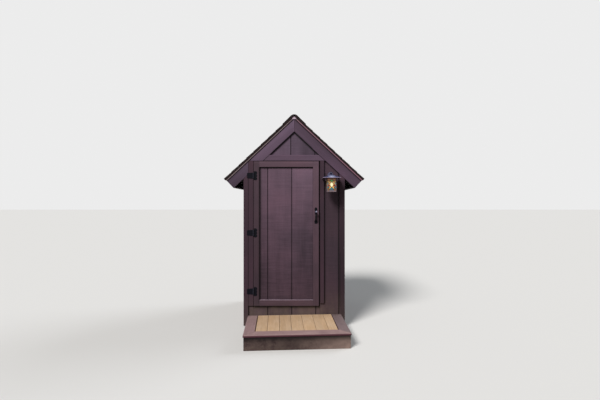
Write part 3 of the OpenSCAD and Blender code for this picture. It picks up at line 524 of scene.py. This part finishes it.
def hinge_metal(name):
    """Black powder coat with worn spots, a painted highlight along the knuckles and painted shade on the plate
    beside them.
    """
    m = Surface(name)
    beside = m.calc("SUBTRACT", m.axis("X"), HINGE_X)
    # A painted highlight on the barrel and painted shade in the corner beside it
    corner, barrel = m.span(beside, 0.0200, 0.0150), m.span(beside, 0.0075, 0.0065)
    strap = m.span(beside, -0.0070, -0.0080)
    tint = m.mix(corner, lin(9, 10, 18), lin(2, 2, 6))
    tint = m.mix(barrel, tint, lin(44, 44, 54))
    tint = m.mix(strap, tint, lin(9, 9, 18))
    tint = m.mix(m.spots(0.4, 0.60), tint, lin(30, 28, 36))
    m.set(Base_Color=tint, Roughness=0.5, Specular_IOR_Level=0.1)
    m.peel(0.0004)
    return m.mat


def thumb_metal(name):
    """Black lever with a pale steel thumb pad, partly worn and partly a painted highlight."""
    m = Surface(name)
    # The pad's pale steel is partly wear and partly a painted highlight
    pad = m.span(m.axis("Y"), -0.668, -0.674)
    blotch = m.noise(m.place, 60, 4, 0.6)
    tint = m.mix(pad, lin(12, 13, 19), m.shade(lin(102, 101, 118), m.span(blotch, 0.3, 0.7, 0.85, 1.1)))
    m.set(Base_Color=tint, Roughness=0.4, Metallic=m.calc("MULTIPLY", pad, 0.6), Specular_IOR_Level=0.2)
    m.peel(0.0003, 240)
    return m.mat


def jewel_glass(name, colour, painted_glow):
    """Coloured glass with ripples, painted as glowing a little from within, and darkened with painted shade on
    the two side panes.
    """
    m = Surface(name)
    ripple = m.noise(m.place, 60, 3, 0.6, 1.5)
    # Painted shade on the two side panes
    side_pane = m.calc("GREATER_THAN", m.off("X", LANTERN.x), PANE_OUT - 0.0004)
    light = m.calc("SUBTRACT", m.around(ripple, 0.2, 1), m.calc("MULTIPLY", side_pane, 0.5))
    tint = m.shade(colour, light)
    m.set(Base_Color=tint, Roughness=0.18, Emission_Color=tint, Emission_Strength=painted_glow, Coat_Weight=0.4)
    m.bump(ripple, 0.001, 0.4)
    return m.mat


# Painted light and shade on the front, as places for front_tones: limits of X, limits of Z, an axis, low and
# high tone

TALL = (0, 3)  # limits of Z, from the ground to above the ridge
WALL_TONES = [
    # Left and right of the doorway, darkened as painted shade
    (-0.61, -0.518, 0, 2.2, "X", 0.75, 0.75),
    (0.320, 0.61, 0, 2.2, "X", 0.69, 0.72),
    # Painted shade beside the right casing and towards the right corner board, and painted light on the siding
    # above the lantern
    (0.377, 0.388, 0.30, 1.95, "X", 0.35, 0.4),
    (0.388, 0.412, 0.30, 1.95, "X", 0.45, 1.0),
    (0.377, 0.395, 1.95, 2.2, "X", 0.8, 1.2),
    (0.540, 0.576, 0, 2.2, "X", 1.0, 0.5),
    (0.40, 0.576, 1.86, 1.96, "Z", 1.0, 1.4),
    (0.40, 0.576, 1.96, 2.2, "Z", 1.4, 1.5),
    # Painted shade below the door, darkest right under it
    (-0.36, -0.05, 0, 0.285, "X", 0.9, 0.84),
    (-0.52, 0.33, 0.200, 0.222, "Z", 1.0, 0.80),
    (-0.52, 0.33, 0.222, 0.238, "Z", 0.80, 0.35),
    (-0.52, 0.33, 0.238, 0.248, "Z", 0.35, 0.06),
    (-0.52, 0.33, 0.248, 0.285, "Z", 0.05, 0.05),
]
TRIM_TONES = [
    # Left corner board and casing, darkened as painted shade, with a dark seam between them, painted light
    # towards the top and painted shade in the middle
    (-0.65, -0.517, *TALL, "X", 0.78, 0.78),
    (-0.585, -0.575, *TALL, "X", 0.6, 0.6),
    (-0.65, -0.517, 1.4, 2.2, "Z", 1.0, 1.3),
    (-0.65, -0.58, 0.9, 1.7, "Z", 0.85, 0.95),
    # Right corner board and casing, darkened as painted shade, the board lit with painted light towards its
    # top
    (0.320, 0.65, *TALL, "X", 0.76, 0.76),
    (0.53, 0.65, 0, 0.9, "Z", 0.54, 0.52),
    (0.53, 0.65, 0.9, 1.5, "Z", 0.52, 0.74),
    (0.53, 0.65, 1.5, 1.84, "Z", 0.74, 0.95),
    (0.53, 0.65, 1.84, 1.9, "Z", 1.0, 1.7),
    (0.53, 0.65, 1.9, 2.2, "Z", 1.7, 1.7),
    # Painted shade on the casing's edge beside the door and on the board's inner edge, and painted light on
    # the casing's top
    (0.314, 0.334, 0.28, 0.5, "X", 0.30, 0.55),
    (0.314, 0.334, 0.5, 1.45, "X", 0.45, 0.75),
    (0.574, 0.590, 0.26, 0.95, "X", 0.45, 0.75),
    (0.334, 0.392, 1.88, 2.12, "Z", 1.1, 1.5),
]
PANEL_TONES = [
    # Shade beside the hinge stile
    (-0.4415, -0.4310, *TALL, "X", 0.2, 0.3),
    (-0.4310, -0.4180, *TALL, "X", 0.35, 0.75),
    (-0.4180, -0.405, *TALL, "X", 0.8, 1.0),
    (-0.4415, -0.336, *TALL, "X", 0.84, 0.9),
    # Painted light above and to the right, and a little painted shade beside the latch stile
    (-0.031, 0.2395, 1.2, 2.03, "Z", 1.0, 1.25),
    (0.226, 0.2395, *TALL, "X", 1.0, 0.7),
    # Painted shade under the upper rail, and darker just above the lower one
    (-0.45, 0.25, 2.000, 2.016, "Z", 1.0, 0.7),
    (-0.45, 0.25, 2.016, 2.03, "Z", 0.12, 0.05),
    (-0.45, 0.25, 0.345, 0.42, "Z", 0.85, 1.0),
]
DOOR_TONES = [
    # Painted shade on the hinge stile, and painted light on the upper rail and the latch stile
    (-0.514, -0.4405, *TALL, "X", 0.7, 0.7),
    (-0.4405, 0.3115, 2.028, 2.11, "X", 1.06, 1.15),
    (0.2395, 0.3115, 1.2, 2.028, "Z", 1.0, 1.2),
    # A painted highlight just under the door's upper edge, painted shade along the edge itself, and painted
    # shade at its foot
    (-0.52, 0.32, 2.070, 2.095, "Z", 1.0, 1.3),
    (-0.52, 0.32, 2.095, 2.11, "Z", 0.8, 0.6),
    (-0.52, 0.32, 0.26, 0.277, "Z", 0.3, 0.7),
    (-0.4405, 0.2395, 0.26, 0.2945, "Z", 0.9, 1.0),
    # The grip's painted shadow, and painted shade on the hinge stile's inner edge
    (0.262, 0.292, 1.317, 1.445, "X", 0.42, 0.36),
    (-0.4570, -0.4405, 0.30, 2.028, "X", 0.85, 0.5),
]
GABLE_TONES = [
    # Painted light left of the middle, painted shade to the right
    (-0.35, -0.043, 2.1, 2.5, "X", 1.2, 1.2),
    (0.04, 0.17, 2.1, 2.5, "X", 1.0, 0.72),
    (0.17, 0.30, 2.1, 2.5, "X", 0.72, 0.72),
]
TIE_TONES = [
    # A painted highlight on the upper edge and painted shade on the lower one
    (-1, 1, 2.166, 2.18, "Z", 1.0, 1.35),
    (-1, 1, 2.105, 2.113, "Z", 0.25, 0.9),
]
PEAK_TONE = (-0.020, 0.020, 2.634, 2.8, "X", 3.2, 3.2)
RAKE_TONES = [
    # The left board: painted shade on its tail, painted light towards the ridge, and a painted highlight on
    # its end at the joint
    (-0.9, -0.58, 1.5, 3, "X", 0.48, 0.80),
    (-0.58, -0.5, 1.5, 3, "X", 0.80, 1.05),
    (-0.5, 0, 1.5, 3, "X", 1.05, 1.2),
    (-0.016, -0.001, 2.4, 3, "X", 1.0, 1.35),
    PEAK_TONE,
]

# Painted light and shade along the roof's slope, as places for slope_tones: two heights, the tones there, and
# a reach of |X|

WALL_SLOPE = [(-0.024, -0.008, 1.0, 0.55, 1)]  # shade under the rake boards
# Painted shade on the gable under the rake boards
GABLE_SLOPE = [(-0.026, -0.010, 1.0, 0.10, 1)]
# Painted shade where the tie board meets the rake boards
TIE_SLOPE = [(-0.012, -0.004, 1.0, 0.35, 1)]
RAKE_LEFT_SLOPE = [
    # Painted light upwards, painted shade under the drip edge, and painted shade on the lower edge near the
    # ridge
    (0.02, 0.09, 0.9, 1.17, 1),
    (0.106, 0.118, 1.0, 0.5, 1),
    (0.001, 0.006, 0.3, 1.0, 0.27),
]
RAKE_RIGHT_SLOPE = [
    # Painted shade upwards, under the drip edge and on the lower edge near the ridge
    (0.02, 0.09, 1.06, 0.94, 1),
    (0.104, 0.114, 1.0, 0.4, 1),
    (0.001, 0.014, 0.4, 1.0, 0.23),
]

# The door's rails, where the grain runs across, and the top edge of the lower one, where dust and a painted
# highlight lie

RAILS = [(-0.4410, 0.2390, 0.26, 0.346), (-0.4410, 0.2390, 2.029, 2.11)]
RAIL_TOP = (-0.4405, 0.2395, 0.346)


# Carried CAD nodes

TRIM = lin(67, 49, 60)
WOOD = lin(196, 164, 124)
PLY = lin(186, 154, 114)

siding = stained_wood("siding stain", lin(70, 55, 65), saw=0.12, dirt=1.0, tones=WALL_TONES, slope=WALL_SLOPE,
                      sheet=True)
plain_siding = stained_wood("plain siding stain", lin(72, 56, 65), shift=(4, 2, 0), saw=0.12, dirt=1.0,
                            sheet=True)
gable = stained_wood("gable stain", lin(90, 75, 91), shift=(2, 4, 1), saw=0.12, dirt=0, tones=GABLE_TONES,
                     slope=GABLE_SLOPE, sheet=True)
door_siding = stained_wood("door stain", lin(84, 67, 80), shift=(3, 1, 0.4), saw=0.16, top_light=0.48, dirt=0.2,
                           tones=PANEL_TONES, sheet=True)
door_boards = stained_wood("door trim stain", lin(80, 63, 73), shift=(5, 2, 1), across=RAILS, top_light=0.22,
                           dirt=0.2, tones=DOOR_TONES, ledge=RAIL_TOP)
trim = stained_wood("trim stain", TRIM, shift=(1, 2, 3), tones=TRIM_TONES)
fascia = stained_wood("fascia stain", TRIM, ALONG_Y, dirt=0)
stops = stained_wood("stop stain", lin(40, 31, 36), dirt=0)
tie = stained_wood("tie board stain", lin(90, 74, 91), ALONG_X, dirt=0, tones=TIE_TONES, slope=TIE_SLOPE)
rake_left = stained_wood("left rake stain", lin(90, 75, 93), (0, math.pi / 2 + PITCH, 0), (0, 3, 1), dirt=0,
                         tones=RAKE_TONES, slope=RAKE_LEFT_SLOPE)
# The right rake board's colour is darker than the left one's as painted shade
rake_right = stained_wood("right rake stain", lin(80, 65, 81), (0, math.pi / 2 - PITCH, 0), dirt=0,
                          tones=[PEAK_TONE], slope=RAKE_RIGHT_SLOPE)
lumber_up = bare_wood("upright lumber", WOOD)
lumber_x = bare_wood("lumber across", WOOD, ALONG_X)
lumber_y = bare_wood("lumber along", WOOD, ALONG_Y)
iron = painted("black iron", lin(6, 6, 13), wear=lin(26, 24, 30), worn=0.3, shine=0.1)
hinges = hinge_metal("hinge iron")

LOOKS = {
    "floor_skids": lumber_y, "floor_joists": lumber_x, "floor_sheet": bare_wood("floor sheet", PLY, ALONG_X),
    "wall_plates": lumber_y, "wall_studs": lumber_up, "door_header": lumber_x, "door_sill": stops,
    "door_stops": stops, "ridge_board": lumber_y,
    "rafters": bare_wood("rafter lumber", WOOD, ALONG_X, tails=True),
    "roof_sheathing": bare_wood("sheathing", PLY, ALONG_Y, tails=True),
    "drip_edges": drip_metal("drip metal"),
    "rake_boards_left": rake_left, "rake_boards_right": rake_right, "eave_fascias": fascia,
    "front_wall_left": siding, "front_wall_right": siding, "front_wall_base": siding, "front_gable": gable,
    "back_wall": plain_siding, "left_wall": plain_siding, "right_wall": plain_siding, "tie_board": tie,
    "corner_boards": trim, "side_corner_boards": trim, "door_casings": trim, "hinge_straps": hinges,
    "lantern_mount": mount_metal("lantern mount metal"), "lantern_cap": cap_metal("lantern metal"),
    "lantern_frame": lantern_bars("lantern frame metal"),
    "lantern_glass": painted("lead cames", lin(44, 38, 36), metal=0.4),
    "step_skirts": step_skirt("skirt boards"), "step_bearers": lumber_x,
    "step_boards": deck_boards("tan boards"), "step_border": deck_border("border boards"),
    "door_panel": door_siding, "door_trim": door_boards, "door_ledges": stops, "hinge_plates": hinges,
    "door_handle": iron, "thumb_lever": thumb_metal("thumb metal"), "latch_base": iron, "latch_bar": iron,
}
ROUND = {"hinge_straps": 0.0006, "hinge_plates": 0.0006, "door_handle": 0.0007, "thumb_lever": 0.001,
         "latch_base": 0.0006, "latch_bar": 0.001, "drip_edges": 0.0004, "lantern_frame": 0.0008,
         "lantern_cap": 0.001, "lantern_mount": 0.001, "step_boards": 0.002, "step_border": 0.004,
         "roof_sheathing": 0.0005, "lantern_glass": 0.0003}


def soften(obj, width):
    """Joins the loose faces of an imported node and rounds its sharp edges."""
    weld = obj.modifiers.new("weld", "WELD")
    weld.merge_threshold = 0.00002
    edge = obj.modifiers.new("edge", "BEVEL")
    edge.width = width
    edge.segments = 2
    edge.limit_method = "ANGLE"
    edge.angle_limit = math.radians(35)
    edge.harden_normals = True


for name, obj in nodes.items():
    if name in LOOKS:
        obj.data.materials.clear()
        obj.data.materials.append(LOOKS[name])
        soften(obj, ROUND.get(name, ROUND_REST))


# Pieces

def link(name, data):
    """A new object in the scene."""
    obj = bpy.data.objects.new(name, data)
    bpy.context.scene.collection.objects.link(obj)
    return obj


def new_piece(name, mesh, material, body):
    """A piece of the scene's own, on a body and with its material in a slot."""
    obj = link(name, mesh)
    mesh.materials.append(material)
    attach(obj, body)
    return obj


def to_mesh(bm, name):
    """The finished mesh, with its faces turned outwards."""
    bmesh.ops.recalc_face_normals(bm, faces=bm.faces)
    mesh = bpy.data.meshes.new(name)
    bm.to_mesh(mesh)
    bm.free()
    return mesh


def sides(bm, low, high):
    """The faces between two rings with as many points."""
    n = len(low)
    return [bm.faces.new([low[i], low[(i + 1) % n], high[(i + 1) % n], high[i]]) for i in range(n)]


def solid(bm, low, high):
    """The faces of a solid between two rings."""
    return [bm.faces.new(low[::-1]), bm.faces.new(high), *sides(bm, low, high)]


def prism(bm, outline, push):
    """A solid between an outline of points and the same outline pushed by a vector."""
    low = [bm.verts.new(p) for p in outline]
    high = [bm.verts.new(Vector(p) + push) for p in outline]
    solid(bm, low, high)


def disc(cx, cy, r, n):
    """The outline of a disc."""
    angles = [2 * math.pi * i / n for i in range(n)]
    return [(cx + r * math.cos(a), cy + r * math.sin(a)) for a in angles]


def paint(faces, layer, tone):
    """Writes a tone for shingle_surface on faces."""
    for face in faces:
        for loop in face.loops:
            loop[layer] = (tone, tone, tone, 1)


# Shingles

THIN_T = 0.0215  # how thick a course is at its upper edge
COURSE_LAP = 0.004  # how far a course reaches on under the next one
COURSE_MIN = 0.03  # a shorter course is left out
ROW_SHIFT = 0.06  # every other row of tabs starts this far beyond the roof's end
TOP_GAP = 0.03  # between the courses' upper end and the ridge
LAYER_LOW, LAYER_HIGH = 0.004, 0.003  # the thin layer below the tabs, at its lower and upper edge
TAB_BACK = 0.0005  # tabs end behind the thin layer's lower edge
TAB_UP = 0.001  # and start above its underside
TAB_SINK = 0.0008  # how much lower a tab's upper edge lies
TAB_LIFT = 0.0006  # how much tabs differ in height, either way
TAB_LEAN = 0.004  # how much narrower a tab gets on each side towards its lower edge
TAB_MIN = 0.03  # a narrower tab is left out
TAB_W = (0.09, 0.2)  # least and most width of a tab, and of the gap beside it
TAB_GAP = (0.03, 0.09)
CAP_PIECES = 9
CAP_LAP = 0.002
CAP_STEPS = 8  # of half the bend
CAP_EDGE = 0.0022  # how high a leg's lower edge lies at most
CAP_FRONT = (0.0015, 0.0055)  # lift and thickness of a bent shingle's front end
CAP_BACK = (-0.0015, 0.0035)


def slope_point(t, s, side):
    """The X and Z of a point t down one slope and s square above the rake boards' lower edge."""
    return Vector((side * (t * math.cos(PITCH) + s * math.sin(PITCH)), 0,
                   GABLE_Z - t * math.sin(PITCH) + s * math.cos(PITCH)))


def slab(bm, side, y0, y1, corners, layer, tone, lean=0.0):
    """A slab from y0 to y1 with a section of four (t, s) corners.

    lean draws its ends in along Y at the first and the last corner, which are its lower edge.
    """
    ends = []
    for y, sign in ((y0, 1), (y1, -1)):
        ring = []
        for i, (t, s) in enumerate(corners):
            p = slope_point(t, s, side)
            p.y = y + (sign * lean if i in (0, 3) else 0)
            ring.append(bm.verts.new(p))
        ends.append(ring)
    paint(solid(bm, ends[1], ends[0]), layer, tone)


def shingle_slope(side):
    """Laminated shingles: on each course a thin full-width layer and raised tabs of uneven widths."""
    bm = bmesh.new()
    layer = bm.loops.layers.color.new("tone")
    low_edge = EAVE_T + SHINGLE_OVER
    top_t = -CAP_S * SLOPE + TOP_GAP
    s1 = SHINGLE_S + SHINGLE_T
    for row in range(int((low_edge - top_t - COURSE_MIN) / COURSE) + 1):
        t1 = low_edge - row * COURSE
        t0 = max(t1 - COURSE - COURSE_LAP, top_t)
        s0 = s1 - (SHINGLE_T - THIN_T) * (t1 - t0) / COURSE
        section = [(t1, SHINGLE_S), (t0, SHINGLE_S), (t0, s0 - LAYER_HIGH), (t1, s1 - LAYER_LOW)]
        slab(bm, side, -ROOF_Y, ROOF_Y, section, layer, rng.uniform(0.0, 0.25))
        y = -ROOF_Y - (0 if row % 2 else ROW_SHIFT)
        while y < ROOF_Y:
            wide = rng.uniform(*TAB_W)
            a, b = max(y, -ROOF_Y), min(y + wide, ROOF_Y)
            if b - a > TAB_MIN:
                lift = rng.uniform(-TAB_LIFT, TAB_LIFT)
                section = [(t1 - TAB_BACK, SHINGLE_S + TAB_UP), (t0, SHINGLE_S + TAB_UP),
                           (t0, s0 - TAB_SINK + lift), (t1 - TAB_BACK, s1 + lift)]
                slab(bm, side, a, b, section, layer, rng.uniform(0.15, 1.0), TAB_LEAN)
            y += wide + rng.uniform(*TAB_GAP)
    return to_mesh(bm, "shingle slope")


def bent_profile(lift, thick):
    """The section of a shingle bent over the ridge: its outer line, then its inner line back again.

    lift is how high its outer line lies above that of the CAD cap.
    """
    z0 = GABLE_Z + (CAP_S + CAP_T - CAP_BEND) / math.cos(PITCH)
    ring = []
    for r, turn in ((CAP_BEND + lift, 1), (CAP_BEND + lift - thick, -1)):
        s = CAP_S + CAP_T + r - CAP_BEND
        right = slope_point((r - s) * SLOPE + CAP_LEG, min(s, CAP_S + CAP_EDGE), 1)
        left = Vector((-right.x, 0, right.z))
        angles = [turn * PITCH * i / CAP_STEPS for i in range(-CAP_STEPS, CAP_STEPS + 1)]
        arc = [Vector((r * math.sin(a), 0, z0 + r * math.cos(a))) for a in angles]
        ring += [left, *arc, right] if turn == 1 else [right, *arc, left]
    return ring


def ridge_shingles():
    """Bent ridge shingles. Each one's back end lies under the front end of the next."""
    bm = bmesh.new()
    layer = bm.loops.layers.color.new("tone")
    each = 2 * ROOF_Y / CAP_PIECES
    for i in range(CAP_PIECES):
        y0 = -ROOF_Y + i * each
        y1 = -ROOF_Y + (i + 1) * each + (CAP_LAP if i < CAP_PIECES - 1 else 0)
        front = [bm.verts.new((p.x, y0, p.z)) for p in bent_profile(*CAP_FRONT)]
        back = [bm.verts.new((p.x, y1, p.z)) for p in bent_profile(*CAP_BACK)]
        paint(solid(bm, front, back), layer, rng.uniform(0.2, 0.9))
    return to_mesh(bm, "ridge shingles")


shingle = shingle_surface("shingle granules")
left = new_piece("shingles_left", shingle_slope(-1), shingle, "hut")
right = new_piece("shingles_right", shingle_slope(1), shingle, "hut")
for piece in (left, right):
    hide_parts("roof_shingles")
cap = new_piece("ridge_shingles", ridge_shingles(), shingle, "hut")
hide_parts("ridge_cap")


# Plates at the ends of the ridge

PLATE_HALF = [(0.0, 2.6590), (0.0262, 2.6350), (0.0215, 2.6325), (0.0, 2.6318)]  # X and Z of its right half
PLATE_Y = TRIM_Y + 0.0078
PLATE_T = 0.001


def ridge_plates():
    """A small bent plate at each end of the ridge, over the drip edges' lap and the rake boards' tips."""
    bm = bmesh.new()
    outline = PLATE_HALF + [(-x, z) for x, z in PLATE_HALF[2:0:-1]]
    for side in (-1, 1):
        prism(bm, [(x, side * PLATE_Y, z) for x, z in outline], Vector((0, side * PLATE_T, 0)))
    return to_mesh(bm, "ridge plates")


new_piece("ridge_plates", ridge_plates(), painted("pale lap metal", lin(196, 176, 192)), "hut")


# Leaded glass of the lantern

PANE_X, PANE_Z = 0.050, 0.0735  # from a pane's middle to the frame, across and up
LEAD_GAP = 0.0013  # how far a glass is drawn in from its outline
GLASS_T = 0.001
JEWEL = (0.0340, -0.0125, 0.0135)  # the place and radius of the round red glasses
JEWEL_T = 0.0018
# Each glass's glow below is painted light; no lamp lights the lantern
GLASS = {  # the colour and how much it glows
    "pale": (lin(250, 238, 186), 0.42), "honey": (lin(220, 166, 88), 0.3), "amber": (lin(158, 92, 34), 0.2),
    "green": (lin(96, 178, 88), 0.3), "teal": (lin(26, 124, 134), 0.18), "aqua": (lin(120, 160, 158), 0.15),
    "slate": (lin(96, 96, 108), 0.1), "red": (lin(124, 14, 8), 0.02), "olive": (lin(112, 112, 52), 0.1),
}
MIDDLE = [
    ("pale", [(0, 0.031), (0.020, 0.013), (0.014, -0.016), (0, -0.030), (-0.014, -0.016), (-0.020, 0.013)]),
    ("green", [(-0.013, 0.053), (0, 0.060), (0.013, 0.053), (0.017, 0.043), (0, 0.033), (-0.017, 0.043)]),
    ("amber", [(-0.012, 0.0545), (0, 0.0615), (0.012, 0.0545), (0.010, PANE_Z), (-0.010, PANE_Z)]),
    ("teal", [(0, -0.032), (0.028, -0.0585), (-0.028, -0.0585)]),
    ("slate", [(-0.030, -0.0605), (0.030, -0.0605), (0.030, -PANE_Z), (-0.030, -PANE_Z)]),
]
BESIDE = [
    ("honey", [(0.002, 0.033), (0.019, 0.044), (0.040, 0.026), (0.037, 0.006), (0.022, 0.013)]),
    ("amber", [(0.012, PANE_Z), (0.014, 0.0535), (0.020, 0.046), (PANE_X, 0.049), (PANE_X, PANE_Z)]),
    ("honey", [(0.022, 0.044), (0.042, 0.027), (PANE_X, 0.030), (PANE_X, 0.047)]),
    ("aqua", [(PANE_X, 0.028), (0.042, 0.025), (0.039, 0.006), (PANE_X, 0.000)]),
    ("honey", [(0.016, -0.016), (0.022, 0.011), (0.036, 0.004), (0.036, -0.028), (0.026, -0.036)]),
    ("honey", [(0.002, -0.031), (0.015, -0.018), (0.030, -0.042), (0.029, -0.057)]),
    ("teal", [(0.038, -0.024), (PANE_X, -0.020), (PANE_X, -0.042), (0.034, -0.040)]),
    ("honey", [(0.038, 0.004), (PANE_X, -0.002), (PANE_X, -0.018), (0.038, -0.022)]),
    ("amber", [(0.032, -0.043), (0.042, -0.044), (0.042, -PANE_Z), (0.032, -PANE_Z)]),
    ("olive", [(0.044, -0.044), (PANE_X, -0.044), (PANE_X, -PANE_Z), (0.044, -PANE_Z)]),
]


def inset(points, gap):
    """The outline of a convex polygon drawn in by a gap, and by 2.5 gaps at most at a sharp corner."""
    pts = [Vector(p) for p in points]
    area = sum(a.x * b.y - b.x * a.y for a, b in zip(pts, pts[1:] + pts[:1]))
    if area < 0:
        pts.reverse()
    out = []
    for a, b, c in zip(pts[-1:] + pts[:-1], pts, pts[1:] + pts[:1]):
        u, v = (b - a).normalized(), (c - b).normalized()
        nu, nv = Vector((-u.y, u.x)), Vector((-v.y, v.x))
        mid = (nu + nv).normalized()
        out.append(b + mid * min(gap / max(mid.dot(nu), 0.3), gap * 2.5))
    return out


def glass_pieces():
    """One piece of each colour, with its glasses in all four panes."""
    pattern = list(MIDDLE)
    for side in (-1, 1):
        pattern += [(colour, [(side * x, z) for x, z in points]) for colour, points in BESIDE]
    groups = {}
    for colour, points in pattern:
        groups.setdefault(colour, []).append((inset(points, LEAD_GAP), GLASS_T))
    x, z, r = JEWEL
    groups["red"] = [(disc(side * x, z, r, 20), JEWEL_T) for side in (-1, 1)]
    looks = {colour: jewel_glass(colour + " glass", *look) for colour, look in GLASS.items()}
    for colour, outlines in groups.items():
        bm = bmesh.new()
        for pane in range(4):
            turn = Matrix.Rotation(pane * math.pi / 2, 3, "Z")
            for outline, depth in outlines:
                points = [LANTERN + turn @ Vector((x, -PANE_OUT, z)) for x, z in outline]
                prism(bm, points, turn @ Vector((0, -depth, 0)))
        new_piece("glass_" + colour, to_mesh(bm, "glass " + colour), looks[colour], "hut")


glass_pieces()


# Screws

SCREW_R = 0.0045
SCREW_Y = -0.643  # the hinge plates' face
DOME = [(1.0, 0.0), (1.0, 0.25), (0.85, 0.5), (0.5, 0.72)]  # rings: shares of the radius and of DOME_H
DOME_TIP = 0.8  # the tip's share of DOME_H
DOME_H = 0.6 * SCREW_R


def screw_heads(name, places, body):
    """Low domed heads at X and Z places on the hinges' face."""
    bm = bmesh.new()
    for cx, cz in places:
        rings = [[bm.verts.new((x, SCREW_Y - rise * DOME_H, z)) for x, z in disc(cx, cz, share * SCREW_R, 12)]
                 for share, rise in DOME]
        tip = bm.verts.new((cx, SCREW_Y - DOME_TIP * DOME_H, cz))
        bm.faces.new(rings[0][::-1])
        for low, high in zip(rings, rings[1:]):
            sides(bm, low, high)
        last = rings[-1]
        for a, b in zip(last, last[1:] + last[:1]):
            bm.faces.new([a, b, tip])
    mesh = to_mesh(bm, name)
    for poly in mesh.polygons:
        poly.use_smooth = True
    new_piece(name, mesh, iron, body)


# Three screws in each plate on the door, and five in each strap on the casing
plate_screws = [(HINGE_X + 0.027, z + up) for z in HINGE_Z for up in (-0.036, 0, 0.036)]
strap_screws = [(HINGE_X - 0.069, z + up) for z in HINGE_Z for up in (-0.021, 0, 0.021)]
strap_screws += [(HINGE_X - 0.020, z + up) for z in HINGE_Z for up in (-0.026, 0.026)]
screw_heads("plate_screws", plate_screws, "door")
screw_heads("strap_screws", strap_screws, "hut")


# Stage, light and camera

FLOOR_R = 60
FLOOR_Z = -0.0005
LIGHT = ((0.92, 0.96, 1.0, 1), 0.2)  # colour and strength
BACKDROP = ((1, 1, 1, 1), 0.84)
FILM_W = 36
LENS = 21.6  # 0.6 of the film's width: at one metre, a metre is 360 of the photo's 600 pixels
EYE = (0.0736, -5.189, 1.6)


def seen(tree):
    """1 for rays of the camera and for rays mirrored by or sent through a surface, 0 for other rays."""
    ray = tree.nodes.new("ShaderNodeLightPath")
    out = ray.outputs["Is Camera Ray"]
    for name in ("Is Glossy Ray", "Is Transmission Ray"):
        either = tree.nodes.new("ShaderNodeMath")
        either.operation = "MAXIMUM"
        tree.links.new(out, either.inputs[0])
        tree.links.new(ray.outputs[name], either.inputs[1])
        out = either.outputs[0]
    return out


def make_floor():
    """A pale floor that throws only a little light back up at the object."""
    mesh = bpy.data.meshes.new("floor")
    corners = [(x * FLOOR_R, y * FLOOR_R, FLOOR_Z) for x, y in ((-1, -1), (1, -1), (1, 1), (-1, 1))]
    mesh.from_pydata(corners, [], [(0, 1, 2, 3)])
    m = Surface("floor")
    m.set(Base_Color=m.mix(seen(m.tree), lin(116, 112, 104), lin(212, 211, 209)), Roughness=0.9)
    m.set(Specular_IOR_Level=0.0)
    mesh.materials.append(m.mat)
    obj = link("floor", mesh)


def make_world():
    """A cool soft light on the object, and a pale backdrop where it is seen."""
    world = bpy.data.worlds.new("world")
    bpy.context.scene.world = world
    world.use_nodes = True
    tree = world.node_tree
    tree.nodes.clear()
    mix = tree.nodes.new("ShaderNodeMixShader")
    tree.links.new(seen(tree), mix.inputs[0])
    for i, (colour, strength) in enumerate((LIGHT, BACKDROP)):
        shader = tree.nodes.new("ShaderNodeBackground")
        shader.inputs["Color"].default_value = colour
        shader.inputs["Strength"].default_value = strength
        tree.links.new(shader.outputs[0], mix.inputs[1 + i])
    out = tree.nodes.new("ShaderNodeOutputWorld")
    tree.links.new(mix.outputs[0], out.inputs["Surface"])


def make_sun(name, towards, strength, angle, colour):
    """A far lamp. towards points from the object to it, and angle is its width in degrees."""
    data = bpy.data.lights.new(name, "SUN")
    data.energy = strength
    data.angle = math.radians(angle)
    data.color = colour
    obj = link(name, data)
    obj.rotation_mode = "QUATERNION"
    obj.rotation_quaternion = Vector(towards).to_track_quat("Z", "Y")


def make_camera():
    """The photo's view: level, straight at the front wall, from 1.6 m above the ground."""
    data = bpy.data.cameras.new("camera")
    data.sensor_width = FILM_W
    data.lens = LENS
    data.shift_y = 0.00133
    obj = link("camera", data)
    obj.location = EYE
    obj.rotation_euler = (math.pi / 2, 0, 0)
    bpy.context.scene.camera = obj


make_floor()
make_world()
make_sun("key", (-0.72, -1.0, 1.2), 3.63, 20, (1, 0.98, 0.96))
make_sun("fill", (1.0, 0.5, 0.7), 1.2, 30, (0.92, 0.96, 1))
make_camera()

bpy.context.scene.view_settings.view_transform = "Standard"
